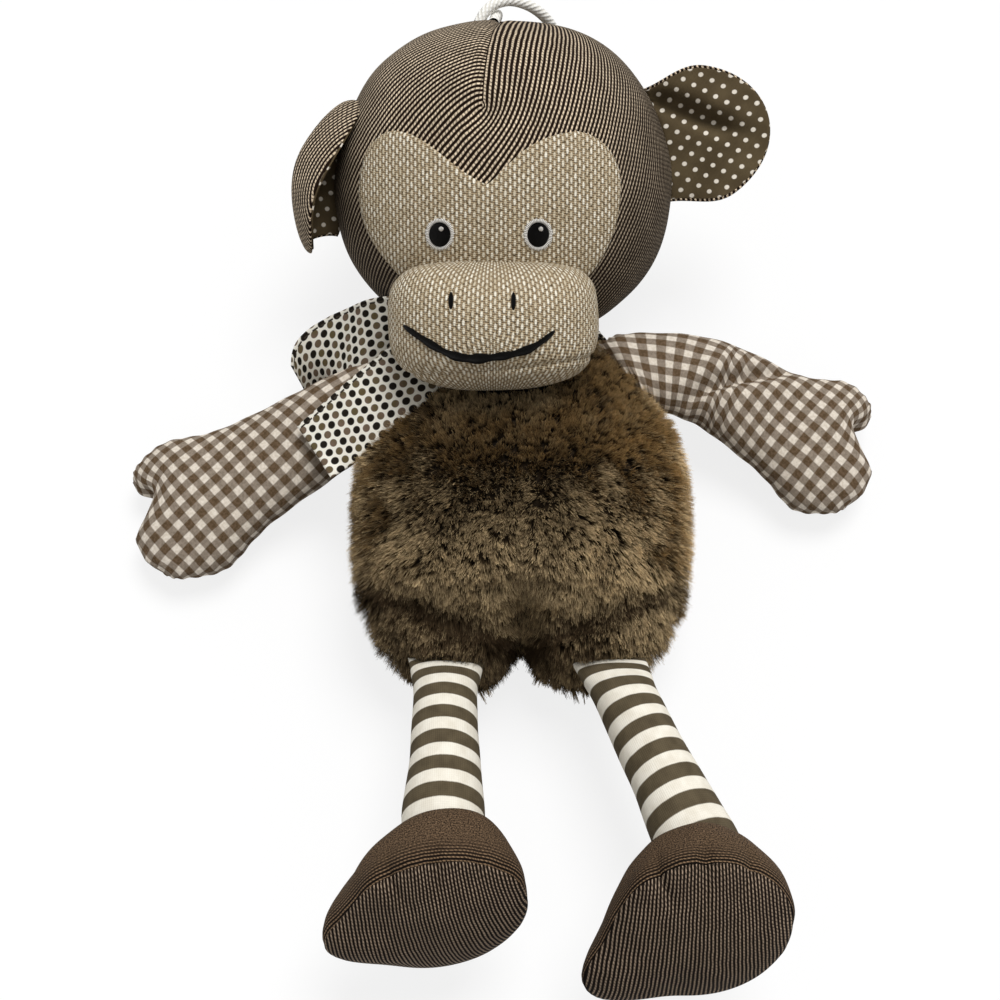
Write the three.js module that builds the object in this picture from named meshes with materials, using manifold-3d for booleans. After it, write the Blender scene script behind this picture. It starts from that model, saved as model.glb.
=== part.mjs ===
// Plush monkey lying on its back: sewn cloth covers over separate fibre fillings.
// Millimetres. +Z is up out of the belly, +Y runs to the head, and the origin lies in the
// middle of the flat of the back. Left and right are the toy's own, as it looks up at you.
import * as THREE from 'three';
import { mergeVertices } from 'three/addons/utils/BufferGeometryUtils.js';
import Module from 'manifold-3d';

const wasm = await Module();
wasm.setup();

// Cloth thicknesses and clearances
const GAP = 0.3;
const FUR_BACKING = 2.2;
const COVER = 1.6;
const LINEN = 1.4;
const RIBBON = 0.9;
const THREAD = 1.0;
const EAR_CLOTH = 1.1;
const EAR_GAP = 0.9;
const FLATTENED = 0.5;

// Body: a pear with a flat back, two thigh lobes and a neck opening
const BODY_HALF_WIDTH = 62;
const BODY_DEPTH = 86.5;
const BODY_BOTTOM = 68;
const NECK_HEIGHT = 72;
const NECK_HALF_WIDTH = 29;
const SEAM_HEIGHT = 38;
const LOBE_HALF_WIDTH = 34;
const LOBE_NOTCH = 11;
const LOBE_NOTCH_WIDTH = 9;
const BELLY_FOLD = 4;
const BELLY_FOLD_PLACE = 53;
const BELLY_FOLD_WIDTH = 6;
const BODY_SQUARENESS = 0.92;

// Head: centre, forward tilt towards the chest and its reach in every direction
const HEAD_OFFSET = -6.7;
const HEAD_DISTANCE = 122;
const HEAD_TILT = THREE.MathUtils.degToRad(29);
const HEAD_HALF_WIDTH = 65;
const HEAD_UP = 63.5;
const HEAD_DOWN = 58;
const HEAD_FRONT = 54;
const HEAD_BACK = 58;
const HEAD_FULLNESS = 0.82;

// Muzzle, in the head's own directions: across, forward and up
const MUZZLE_ACROSS = -3.7;
const MUZZLE_FORWARD = 49;
const MUZZLE_UP = -49.5;
const MUZZLE_HALF_WIDTH = 38.5;
const MUZZLE_HALF_HEIGHT = 23.5;
const MUZZLE_REACH = 27;
const MUZZLE_FULLNESS = 0.8;
const MUZZLE_TOP_SQUARENESS = 0.5;
const MUZZLE_CHIN_SQUARENESS = 0.75;
const CHIN_SEAM_UP = -64;
const CHIN_SEAM_LEAN = 0.1;
const CHIN_CLEARANCE = 7;

// Face: eyes, nostrils and mouth, again across and up in the head's own directions
const EYE_UP = -16;
const LEFT_EYE_ACROSS = 12.4;
const RIGHT_EYE_ACROSS = -22.7;
const EYE_HALF_WIDTH = 3.5;
const EYE_HALF_HEIGHT = 4.2;
const EYE_RING = 1.1;
const HIGHLIGHT_RADIUS = 1.2;
const HIGHLIGHT_RISE = 2.2;
const NOSTRIL_UP = -39;
const LEFT_NOSTRIL_ACROSS = 3.5;
const RIGHT_NOSTRIL_ACROSS = -18.5;
const NOSTRIL_HALF_WIDTH = 0.8;
const NOSTRIL_HALF_HEIGHT = 2.9;
const MOUTH_WIDTH = 2.0;
const MOUTH_LEFT = [18, -49.5];
const MOUTH_MIDDLE = [-8, -68];
const MOUTH_RIGHT = [-35, -48.5];

// Ears: straight root, round tip
const EAR_LENGTH = 40;
const EAR_HALF_WIDTH = 28;
const EAR_ROOT_HALF_WIDTH = 21;
const EAR_HALF_THICKNESS = 3.6;
const EAR_ROOT_HALF_THICKNESS = 1.4;
const EAR_SUNK = 6;
const EAR_CUP = 6;
const LEFT_EAR_UP = 16;
const RIGHT_EAR_UP = 4;
const EAR_LEAN = THREE.MathUtils.degToRad(14);
// How far forward each ear turns at its root and at its tip
const EAR_CURL_START = 0.2;
const EAR_CURL_END = 0.8;
const LEFT_EAR_CURL = [4, 12].map(THREE.MathUtils.degToRad);
const RIGHT_EAR_CURL = [20, 100].map(THREE.MathUtils.degToRad);

// Hanging loop
const LOOP_DIAMETER = 4.2;

// Arms: from the shoulder seam to the mitten hand
const SHOULDER_TOP = 67;
const SHOULDER_BOTTOM = 45.5;
const SHOULDER_ROUND = 9;
const SHOULDER_SUNK = 5.5;
const SEAM_PROUD = 1.2;
const ARM_ROOT_HEIGHT = 38;
const ARM_SWING = [-20, 0, 12, 35].map(THREE.MathUtils.degToRad);
const ARM_ROOT_WIDTH = 25;
const UPPER_ARM_WIDTH = 31;
const ELBOW_WIDTH = 35;
const WRIST_WIDTH = 43;
const HAND_WIDTH = 57;
const ELBOW_THICKNESS = 25;
const HAND_THICKNESS = 28;
const THUMB_NOTCH = 6;
const FINGER_REACH = 8;
const LEFT_UPPER_ARM = 38;
const LEFT_FOREARM = 63.5;
const LEFT_UPPER_ARM_ANGLE = THREE.MathUtils.degToRad(-3.5);
const LEFT_FOREARM_ANGLE = THREE.MathUtils.degToRad(-24.7);
const RIGHT_UPPER_ARM = 41;
const RIGHT_FOREARM = 80;
const RIGHT_UPPER_ARM_ANGLE = THREE.MathUtils.degToRad(-27.5);
const RIGHT_FOREARM_ANGLE = THREE.MathUtils.degToRad(-27.9);

// Legs and feet
const LEFT_LEG_LENGTH = 76;
const RIGHT_LEG_LENGTH = 62.5;
const THIGH_RADIUS = 11;
const ANKLE_RADIUS = 14.5;
const HIP_SEAM_HALF_WIDTH = 14;
const HIP_SEAM_HALF_THICKNESS = 2.2;
const HIP_ALONG = -60.5;
const HIP_HEIGHT = 40;
const HIP_SEAM_ALONG = -64;
const LEFT_HIP_ACROSS = 31;
const RIGHT_HIP_ACROSS = 27.5;
const LEFT_LEG_RISE = THREE.MathUtils.degToRad(8);
const RIGHT_LEG_RISE = THREE.MathUtils.degToRad(12);
const LEFT_LEG_SPREAD = THREE.MathUtils.degToRad(23);
const RIGHT_LEG_SPREAD = THREE.MathUtils.degToRad(0);
const LEG_SWING = [-25, 0, 12, 35].map(THREE.MathUtils.degToRad);
const SLEEVE_OPENING = THREE.MathUtils.degToRad(40);
const FOOT_HEIGHT = 34;
const FOOT_START = 7.8;
const FOOT_FILLING_START = 0.48;
const SOLE_HALF_LENGTH = 32;
const SOLE_HALF_WIDTH = 30;
const SOLE_DROP = 9;
const LEFT_SOLE_SHIFT = 0.5;
const RIGHT_SOLE_SHIFT = 6;
const SOLE_BULGE = 8;
const LEFT_TOE_REACH = 16;
const RIGHT_TOE_REACH = 10;
const TOE_SHARPNESS = 0.38;
const LEFT_SOLE_FACING = new THREE.Vector3(0.0, -0.78, 0.62);
const RIGHT_SOLE_FACING = new THREE.Vector3(0.12, -0.87, 0.44);
const LEFT_TOE_TURN = THREE.MathUtils.degToRad(-142);
const RIGHT_TOE_TURN = THREE.MathUtils.degToRad(-160);

// Ribbon
const RIBBON_WIDTH = 26;
const BAND_START = 0.935;
const BAND_END = 0.985;
const BAND_MARGIN = 0.006;
const KNOT_RADIUS = 5;

const TAU = Math.PI * 2;
const vec = (x, y, z) => new THREE.Vector3(x, y, z);

// The head's own directions, and a place given in them
const HEAD_CENTRE_HEIGHT = Math.hypot(
  HEAD_BACK * Math.cos(HEAD_TILT), HEAD_UP * Math.sin(HEAD_TILT)) - FLATTENED;
const ACROSS = vec(1, 0, 0);
const FORWARD = vec(0, -Math.sin(HEAD_TILT), Math.cos(HEAD_TILT));
const UPWARD = vec(0, Math.cos(HEAD_TILT), Math.sin(HEAD_TILT));
const HEAD_CENTRE = vec(HEAD_OFFSET, HEAD_DISTANCE, HEAD_CENTRE_HEIGHT);

function onHead(across, forward, up) {
  return HEAD_CENTRE.clone()
    .addScaledVector(ACROSS, across)
    .addScaledVector(FORWARD, forward)
    .addScaledVector(UPWARD, up);
}

// Smooth values through a row of numbers for each station
function through(stations) {
  const curves = stations[0].map((_, column) => new THREE.CatmullRomCurve3(
    stations.map((row, i) => vec(i, row[column], 0)), false, 'catmullrom', 0.5));
  return (t) => curves.map((curve) => curve.getPoint(t).y);
}

function rounded(angle, power) {
  const c = Math.cos(angle);
  const s = Math.sin(angle);
  return [Math.sign(c) * Math.abs(c) ** power, Math.sign(s) * Math.abs(s) ** power];
}

// Rows of points on a form: from one end to the other, and round it from start to end
function rowsOf(form, inset, { start = 0, end = TAU, from = 0, to = 1, rings = form.rings } = {}) {
  const whole = end - start > TAU - 1e-6;
  const steps = Math.round(form.columns * (end - start) / TAU);
  const columns = whole ? steps : steps + 1;
  return Array.from({ length: rings + 1 }, (_, i) => Array.from({ length: columns },
    (_, j) => form.at(from + (to - from) * i / rings, start + (end - start) * j / steps, inset)));
}

// A closed geometry from triangles of points, with its faces turned outwards
function closedGeometry(triangles) {
  let volume = 0;
  for (const [a, b, c] of triangles) volume += a.dot(b.clone().cross(c));
  const points = triangles.flatMap(([a, b, c]) => (volume > 0 ? [a, b, c] : [a, c, b]));
  const loose = new THREE.BufferGeometry().setFromPoints(points);
  const merged = mergeVertices(loose, 1e-3);
  const index = [];
  const corners = merged.index.array;
  for (let i = 0; i < corners.length; i += 3) {
    const [a, b, c] = [corners[i], corners[i + 1], corners[i + 2]];
    if (a !== b && b !== c && c !== a) index.push(a, b, c);
  }
  merged.setIndex(index);
  return merged;
}

// Two triangles for each step between neighbouring rows, or the same two turned over
function strip(triangles, first, second, wrap, over = false) {
  const count = wrap ? first.length : first.length - 1;
  for (let j = 0; j < count; j += 1) {
    const k = (j + 1) % first.length;
    const pair = [[first[j], first[k], second[k]], [first[j], second[k], second[j]]];
    triangles.push(...(over ? pair.map(([a, b, c]) => [a, c, b]) : pair));
  }
}

// A solid filled up to the rows, closed at both ends
function filled(rows) {
  const triangles = [];
  for (let i = 0; i + 1 < rows.length; i += 1) strip(triangles, rows[i], rows[i + 1], true);
  for (const row of [[...rows[0]].reverse(), rows.at(-1)]) {
    const middle = row.reduce((sum, p) => sum.add(p), vec(0, 0, 0)).divideScalar(row.length);
    row.forEach((p, j) => triangles.push([p, row[(j + 1) % row.length], middle]));
  }
  return closedGeometry(triangles);
}

// A cloth panel between an outer and an inner sheet of rows
function panelBetween(outer, inner, wrap) {
  const triangles = [];
  const last = outer.length - 1;
  for (let i = 0; i < last; i += 1) {
    strip(triangles, outer[i], outer[i + 1], wrap);
    strip(triangles, inner[i], inner[i + 1], wrap, true);
  }
  strip(triangles, inner[0], outer[0], wrap);
  strip(triangles, outer[last], inner[last], wrap);
  if (!wrap) {
    const end = outer[0].length - 1;
    const column = (rows, j) => rows.map((row) => row[j]);
    strip(triangles, column(outer, 0), column(inner, 0), false);
    strip(triangles, column(inner, end), column(outer, end), false);
  }
  return closedGeometry(triangles);
}

function panel(form, thickness, span, shift = vec(0, 0, 0)) {
  const wrap = span.start === undefined;
  const geometry = panelBetween(rowsOf(form, 0, span), rowsOf(form, thickness, span), wrap);
  return geometry.translate(shift.x, shift.y, shift.z);
}

// Joining and cutting
function solid(geometry) {
  const bare = geometry.clone();
  for (const name of ['normal', 'uv']) bare.deleteAttribute(name);
  const merged = mergeVertices(bare, 1e-3);
  return new wasm.Manifold(new wasm.Mesh({
    numProp: 3,
    vertProperties: new Float32Array(merged.attributes.position.array),
    triVerts: new Uint32Array(merged.index.array),
  }));
}

function geometryOf(manifold) {
  const mesh = manifold.getMesh();
  const geometry = new THREE.BufferGeometry();
  geometry.setAttribute('position', new THREE.BufferAttribute(new Float32Array(mesh.vertProperties), 3));
  geometry.setIndex(new THREE.BufferAttribute(new Uint32Array(mesh.triVerts), 1));
  return geometry;
}

const FAR = 1000;
const swollen = (form, amount) => solid(filled(rowsOf(form, -amount)));
const layer = (form, low, high) => swollen(form, high).subtract(swollen(form, low));
const floor = solid(new THREE.BoxGeometry(FAR, FAR, FAR).translate(0, 0, -FAR / 2));
const belowNeck = solid(new THREE.BoxGeometry(FAR, FAR, FAR)
  .translate(0, NECK_HEIGHT + GAP / 2 - FAR / 2, 0));

// Body
const bodyStations = through([
  // along, half width, seam height, front depth, back depth
  [-BODY_BOTTOM, LOBE_HALF_WIDTH, 22, 0, 0],
  [-BODY_BOTTOM + 2.5, LOBE_HALF_WIDTH + 9, 22.5, 15, 12],
  [-BODY_BOTTOM + 8, BODY_HALF_WIDTH - 12, 25, 28, 20],
  [-BODY_BOTTOM + 16, BODY_HALF_WIDTH - 7, 29, 37, 28],
  [-BODY_BOTTOM + 24, BODY_HALF_WIDTH - 4, 33, 43, 33.5],
  [-38, BODY_HALF_WIDTH - 1.5, 36, 48, 36.5],
  [-18, BODY_HALF_WIDTH, SEAM_HEIGHT, BODY_DEPTH - SEAM_HEIGHT, SEAM_HEIGHT + FLATTENED],
  [4, BODY_HALF_WIDTH, SEAM_HEIGHT, BODY_DEPTH - SEAM_HEIGHT - 4, SEAM_HEIGHT + FLATTENED],
  [24, BODY_HALF_WIDTH - 3, SEAM_HEIGHT, 34, SEAM_HEIGHT + FLATTENED],
  [40, BODY_HALF_WIDTH - 10, SEAM_HEIGHT, 23, SEAM_HEIGHT],
  [56, NECK_HALF_WIDTH + 12, 36, 18, 33],
  [65, NECK_HALF_WIDTH + 5, 34, 17, 25],
  [NECK_HEIGHT - GAP / 2, NECK_HALF_WIDTH, 33, 16, 18],
]);

const body = {
  rings: 13,
  columns: 20,
  at(t, angle, inset) {
    const [along, halfWidth, seam, front, back] = bodyStations(t);
    const [c, s] = rounded(angle, BODY_SQUARENESS);
    const depth = Math.max((s > 0 ? front : back) - inset, 0);
    const x = c * (halfWidth - inset);
    const y = along * (1 - inset / NECK_HEIGHT);
    const low = THREE.MathUtils.smoothstep(-y, BODY_BOTTOM - 40, BODY_BOTTOM);
    const notch = LOBE_NOTCH * low * Math.exp(-((x / LOBE_NOTCH_WIDTH) ** 2));
    const fold = BELLY_FOLD * Math.exp(-(((y + BELLY_FOLD_PLACE) / BELLY_FOLD_WIDTH) ** 2));
    const sink = s > 0 ? Math.min(s * (fold + notch / 2), s * depth * 0.6) : 0;
    return vec(x, y + notch, seam + s * depth - sink);
  },
};

// A limb is pared by the body, turned through the swing of the seam that holds the limb
function pared(limb, { place, axis, swing }) {
  return geometryOf(swing.reduce((rest, angle) => {
    const turn = new THREE.Matrix4().makeTranslation(place)
      .multiply(new THREE.Matrix4().makeRotationAxis(axis, -angle))
      .multiply(new THREE.Matrix4().makeTranslation(place.clone().negate()));
    return rest.subtract(solid(filled(rowsOf(body, -GAP)).applyMatrix4(turn)));
  }, limb));
}

function bodyPieces() {
  const half = GAP / 2;
  const wall = FUR_BACKING;
  const backPanel = solid(panel(body, wall, { start: Math.PI, end: TAU }, vec(0, 0, -half)));
  const filling = solid(filled(rowsOf(body, wall + GAP)));
  return {
    body_front_left_panel: panel(body, wall, { start: 0, end: TAU / 4 }, vec(half, 0, half)),
    body_front_right_panel: panel(body, wall, { start: TAU / 4, end: TAU / 2 }, vec(-half, 0, half)),
    body_back_panel: geometryOf(backPanel.subtract(floor)),
    body_filling: geometryOf(filling),
  };
}

// Head
const head = {
  rings: 12,
  columns: 18,
  at(t, angle, inset) {
    const lift = (t - 0.5) * Math.PI;
    const round = Math.cos(lift) ** HEAD_FULLNESS;
    const up = Math.sin(lift) * ((lift > 0 ? HEAD_UP : HEAD_DOWN) - inset);
    const depth = (Math.sin(angle) > 0 ? HEAD_FRONT : HEAD_BACK) - inset;
    return onHead(
      Math.cos(angle) * round * (HEAD_HALF_WIDTH - inset), Math.sin(angle) * round * depth, up);
  },
};

const muzzle = {
  rings: 8,
  columns: 16,
  at(t, angle, inset) {
    const lift = (t - 0.5) * Math.PI;
    const round = Math.cos(lift) ** MUZZLE_FULLNESS;
    const top = THREE.MathUtils.smoothstep(Math.sin(angle), -0.2, 0.3);
    const [c, s] = rounded(angle, THREE.MathUtils.lerp(MUZZLE_CHIN_SQUARENESS, MUZZLE_TOP_SQUARENESS, top));
    return onHead(
      MUZZLE_ACROSS + c * round * (MUZZLE_HALF_WIDTH - inset),
      MUZZLE_FORWARD + Math.sin(lift) * (MUZZLE_REACH - inset),
      MUZZLE_UP + s * round * (MUZZLE_HALF_HEIGHT - inset));
  },
};

// A flat outline in the head's across and up directions, carried straight forward from a depth
function faceColumn(shape, from) {
  const turn = new THREE.Matrix4().makeBasis(ACROSS, UPWARD, FORWARD).setPosition(onHead(0, from, 0));
  const column = new THREE.ExtrudeGeometry(shape, { depth: FAR / 5, bevelEnabled: false, curveSegments: 5 });
  return solid(column.applyMatrix4(turn));
}

function oval(across, up, halfWidth, halfHeight) {
  return new THREE.Shape().absellipse(across, up, halfWidth, halfHeight, 0, TAU);
}

// A heart with two brow lobes, running down under the muzzle
function heart() {
  const shape = new THREE.Shape();
  shape.moveTo(-6, 2);
  shape.bezierCurveTo(4, 12, 14, 21, 27, 21);
  shape.bezierCurveTo(38, 20, 44, 9, 43.5, 0);
  shape.bezierCurveTo(43, -14, 39, -24, 32, -32);
  shape.lineTo(-39, -32);
  shape.bezierCurveTo(-49, -22, -55, -12, -54, 2);
  shape.bezierCurveTo(-53, 13, -48, 21, -40, 21.5);
  shape.bezierCurveTo(-28, 21, -18, 11, -6, 2);
  return shape;
}

// A thick stitched line along a sagging curve
function smile() {
  const line = new THREE.QuadraticBezierCurve(
    new THREE.Vector2(...MOUTH_RIGHT), new THREE.Vector2(...MOUTH_MIDDLE), new THREE.Vector2(...MOUTH_LEFT));
  const edge = (side) => line.getPoints(10).map((p, i) => {
    const along = line.getTangent(i / 10);
    const half = MOUTH_WIDTH / 2 * (i % 10 ? 1 : 0.6);
    return new THREE.Vector2(p.x - along.y * half * side, p.y + along.x * half * side);
  });
  return new THREE.Shape([...edge(-1), ...edge(1).reverse()]);
}

function headPieces() {
  const half = GAP / 2;
  const trim = (geometry) => solid(geometry).subtract(belowNeck).subtract(floor);
  const front = trim(panel(head, COVER, { start: 0, end: Math.PI }, FORWARD.clone().multiplyScalar(half)));
  const back = trim(panel(head, COVER, { start: Math.PI, end: TAU }, FORWARD.clone().multiplyScalar(-half)));
  const filling = trim(filled(rowsOf(head, COVER + GAP, { rings: head.rings / 2 })));
  return {
    head_front_panel: geometryOf(front),
    head_back_panel: geometryOf(back),
    head_filling: geometryOf(filling),
    face_patch: geometryOf(layer(head, GAP, GAP + LINEN).intersect(faceColumn(heart(), 0))),
  };
}

function muzzlePieces() {
  const keepClear = swollen(head, GAP + LINEN + GAP).add(swollen(body, CHIN_CLEARANCE));
  const cover = layer(muzzle, -LINEN, 0).subtract(keepClear);
  const underside = new THREE.Matrix4().makeBasis(ACROSS, UPWARD, FORWARD)
    .setPosition(onHead(MUZZLE_ACROSS, MUZZLE_FORWARD, CHIN_SEAM_UP - FAR / 2));
  const chin = (gap) => solid(new THREE.BoxGeometry(FAR, FAR, FAR)
    .translate(0, gap, 0).rotateZ(CHIN_SEAM_LEAN).applyMatrix4(underside));
  return {
    muzzle_upper_panel: geometryOf(cover.subtract(chin(GAP / 2))),
    muzzle_chin_panel: geometryOf(cover.intersect(chin(-GAP / 2))),
    muzzle_filling: geometryOf(swollen(muzzle, -LINEN - GAP).subtract(keepClear)),
  };
}

function facePieces() {
  const onPatch = GAP + LINEN + GAP;
  const stitched = (shape, low, high) => geometryOf(layer(head, low, high).intersect(faceColumn(shape, 0)));
  const onMuzzle = (shape) => geometryOf(
    layer(muzzle, GAP, GAP + THREAD).intersect(faceColumn(shape, MUZZLE_FORWARD)));
  const pieces = { mouth_stitch: onMuzzle(smile()) };
  for (const [side, eye, nostril] of [
    ['left', LEFT_EYE_ACROSS, LEFT_NOSTRIL_ACROSS], ['right', RIGHT_EYE_ACROSS, RIGHT_NOSTRIL_ACROSS]]) {
    const pupil = oval(eye, EYE_UP, EYE_HALF_WIDTH, EYE_HALF_HEIGHT);
    const rim = oval(eye, EYE_UP, EYE_HALF_WIDTH + GAP + EYE_RING, EYE_HALF_HEIGHT + GAP + EYE_RING);
    rim.holes.push(oval(eye, EYE_UP, EYE_HALF_WIDTH + GAP, EYE_HALF_HEIGHT + GAP));
    const glint = oval(eye, EYE_UP + HIGHLIGHT_RISE, HIGHLIGHT_RADIUS, HIGHLIGHT_RADIUS);
    const top = onPatch + THREAD;
    pieces[`${side}_eye`] = stitched(pupil, onPatch, top);
    pieces[`${side}_eye_ring`] = stitched(rim, onPatch, top);
    pieces[`${side}_eye_highlight`] = stitched(glint, top + GAP, top + GAP + THREAD);
    pieces[`${side}_nostril`] = onMuzzle(oval(nostril, NOSTRIL_UP, NOSTRIL_HALF_WIDTH, NOSTRIL_HALF_HEIGHT));
  }
  return pieces;
}

// Ears, sewn into the head's side seam and curling forward towards the tip
function earForm(side, rootUp, [rootFold, tipFold]) {
  const seamAcross = (up) => HEAD_HALF_WIDTH * Math.sqrt(1 - (up / HEAD_UP) ** 2) ** HEAD_FULLNESS;
  const root = onHead(side * (seamAcross(rootUp) - EAR_SUNK), 0, rootUp);
  const along = ACROSS.clone().multiplyScalar(-side * Math.sin(EAR_LEAN))
    .addScaledVector(UPWARD, Math.cos(EAR_LEAN));
  const straightOut = ACROSS.clone().multiplyScalar(side * Math.cos(EAR_LEAN))
    .addScaledVector(UPWARD, Math.sin(EAR_LEAN));
  const foldAt = (reach) => THREE.MathUtils.lerp(
    rootFold, tipFold, THREE.MathUtils.smoothstep(reach, EAR_CURL_START, EAR_CURL_END));
  const outward = (fold) => straightOut.clone().multiplyScalar(Math.cos(fold))
    .addScaledVector(FORWARD, Math.sin(fold));
  const facing = (fold) => FORWARD.clone().multiplyScalar(Math.cos(fold))
    .addScaledVector(straightOut, -Math.sin(fold));
  const curlSteps = 12;
  const step = (EAR_SUNK + EAR_LENGTH) / curlSteps;
  const middleLine = (reach, inset) => {
    const place = root.clone().addScaledVector(outward(foldAt(reach)), -inset * reach);
    for (let i = 0; i < curlSteps; i += 1) {
      place.addScaledVector(outward(foldAt(reach * (i + 0.5) / curlSteps)), step * reach);
    }
    return place;
  };
  return {
    facing: facing(foldAt(0.6)),
    rings: 9,
    columns: 12,
    at(t, angle, inset) {
      const reach = Math.sin(t * Math.PI / 2);
      const spread = THREE.MathUtils.smoothstep(reach, 0, 0.6);
      const halfWidth = THREE.MathUtils.lerp(EAR_ROOT_HALF_WIDTH, EAR_HALF_WIDTH, spread) - inset;
      const thick = THREE.MathUtils.lerp(EAR_ROOT_HALF_THICKNESS, EAR_HALF_THICKNESS, spread) - inset;
      const close = Math.sqrt(Math.max(1 - reach ** 3, 0));
      const w = Math.cos(angle) * halfWidth * close;
      const cup = EAR_CUP * (w / EAR_HALF_WIDTH) ** 2 * spread;
      return middleLine(reach, inset)
        .addScaledVector(along, w)
        .addScaledVector(facing(foldAt(reach)), Math.sin(angle) * Math.max(thick, 0.1) * close + cup);
    },
  };
}

function earPieces(name, side, rootUp, curl) {
  const form = earForm(side, rootUp, curl);
  const clear = swollen(head, EAR_GAP);
  const cut = (geometry) => geometryOf(solid(geometry).subtract(clear));
  const apart = form.facing.clone().multiplyScalar(GAP / 2);
  return {
    [`${name}_ear_lining`]: cut(panel(form, EAR_CLOTH, { start: 0, end: Math.PI }, apart)),
    [`${name}_ear_back`]: cut(panel(form, EAR_CLOTH, { start: Math.PI, end: TAU }, apart.negate())),
  };
}

// Arms
const shoulderMiddle = (SHOULDER_TOP + SHOULDER_BOTTOM) / 2;
const seamAt = (y) => THREE.MathUtils.mapLinear(y, 40, NECK_HEIGHT, BODY_HALF_WIDTH - 10, NECK_HALF_WIDTH);

function shoulderSeam(side) {
  const slope = seamAt(SHOULDER_BOTTOM) - seamAt(SHOULDER_TOP);
  const place = vec(side * (seamAt(shoulderMiddle) + SEAM_PROUD), shoulderMiddle, ARM_ROOT_HEIGHT);
  const axis = vec(slope, side * (SHOULDER_BOTTOM - SHOULDER_TOP), 0).normalize();
  return { place, axis, swing: ARM_SWING };
}

function armForm(side, upper, fore, upperAngle, foreAngle) {
  const step = (angle, length) => [side * Math.cos(angle) * length, Math.sin(angle) * length];
  const root = [side * (seamAt(shoulderMiddle) - SHOULDER_SUNK), shoulderMiddle];
  const elbow = root.map((v, i) => v + step(upperAngle, upper)[i]);
  const wrist = elbow.map((v, i) => v + step(foreAngle, fore / 2)[i]);
  const tip = elbow.map((v, i) => v + step(foreAngle, fore)[i]);
  const handHeight = HAND_THICKNESS / 2 - FLATTENED;
  const rootLean = Math.atan2(seamAt(SHOULDER_BOTTOM) - seamAt(SHOULDER_TOP), SHOULDER_TOP - SHOULDER_BOTTOM);
  const part = (from, to, share, i) => THREE.MathUtils.lerp(from[i], to[i], share);
  const at = (from, to, share) => [part(from, to, share, 0), part(from, to, share, 1)];
  const row = ([x, y], width, height, thickness, lean) => [x, y, width / 2, height, thickness / 2, lean];
  const mid = (a, b) => (a + b) / 2;
  const halfWay = mid(ARM_ROOT_HEIGHT, handHeight);
  const stations = through([
    row(root, ARM_ROOT_WIDTH, ARM_ROOT_HEIGHT, 0, rootLean),
    row(at(root, elbow, 0.1), ARM_ROOT_WIDTH, ARM_ROOT_HEIGHT, SHOULDER_ROUND * 1.5, rootLean * 0.8),
    row(at(root, elbow, 0.3), UPPER_ARM_WIDTH, ARM_ROOT_HEIGHT - 2, SHOULDER_ROUND * 2, rootLean * 0.5),
    row(elbow, ELBOW_WIDTH, halfWay + 2, ELBOW_THICKNESS, mid(upperAngle, foreAngle)),
    row(wrist, WRIST_WIDTH, halfWay - 8, mid(ELBOW_THICKNESS, HAND_THICKNESS), foreAngle),
    row(at(wrist, tip, 0.55), HAND_WIDTH, handHeight, HAND_THICKNESS, foreAngle),
    row(at(wrist, tip, 0.9), HAND_WIDTH * 0.88, handHeight, HAND_THICKNESS * 0.62, foreAngle),
    row(tip, HAND_WIDTH * 0.72, handHeight, 0, foreAngle),
  ]);
  return {
    rings: 12,
    columns: 12,
    at(t, angle, inset) {
      const [x, y, halfWidth, height, half, lean] = stations(t);
      const [c, s] = rounded(angle, 0.9);
      const across = c * Math.max(halfWidth - inset, 1);
      const end = THREE.MathUtils.smoothstep(t, 0.72, 1);
      const start = 1 - THREE.MathUtils.smoothstep(t, 0, 0.2);
      const notch = THUMB_NOTCH * Math.exp(-(((c - 0.45) / 0.25) ** 2));
      const fingers = FINGER_REACH * THREE.MathUtils.smoothstep(-c, -0.3, 0.9);
      const pull = inset * (end - start) + end * (notch - fingers);
      return vec(
        x - side * (Math.cos(lean) * pull + Math.sin(lean) * across),
        y - Math.sin(lean) * pull + Math.cos(lean) * across,
        height + s * Math.max(half - inset, 0));
    },
  };
}

function armPieces(name, side, form) {
  const cut = (geometry) => pared(solid(geometry).subtract(floor), shoulderSeam(side));
  const half = GAP / 2;
  const fromRing = (ring) => ({ from: ring / form.rings, rings: form.rings - ring });
  const front = { start: 0, end: Math.PI, ...fromRing(1) };
  const back = { start: Math.PI, end: TAU, ...fromRing(1) };
  return {
    [`${name}_arm_front_panel`]: cut(panel(form, COVER, front, vec(0, 0, half))),
    [`${name}_arm_back_panel`]: cut(panel(form, COVER, back, vec(0, 0, -half))),
    [`${name}_arm_filling`]: cut(filled(rowsOf(form, COVER + 2 * GAP, fromRing(2)))),
  };
}

// Legs: a striped sleeve, flat where it is sewn to the body and round at the ankle
function legPlan(side, hipAcross, length, spread, rise) {
  const hip = vec(side * hipAcross, HIP_ALONG, HIP_HEIGHT);
  const along = vec(side * Math.sin(spread), -Math.cos(spread), 0).multiplyScalar(Math.cos(rise));
  along.z = Math.sin(rise);
  const ankle = hip.clone().addScaledVector(along, length);
  const seam = { place: vec(hip.x, HIP_SEAM_ALONG, hip.z), axis: vec(-1, 0, 0), swing: LEG_SWING };
  return { hip, along, ankle, seam };
}

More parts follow.
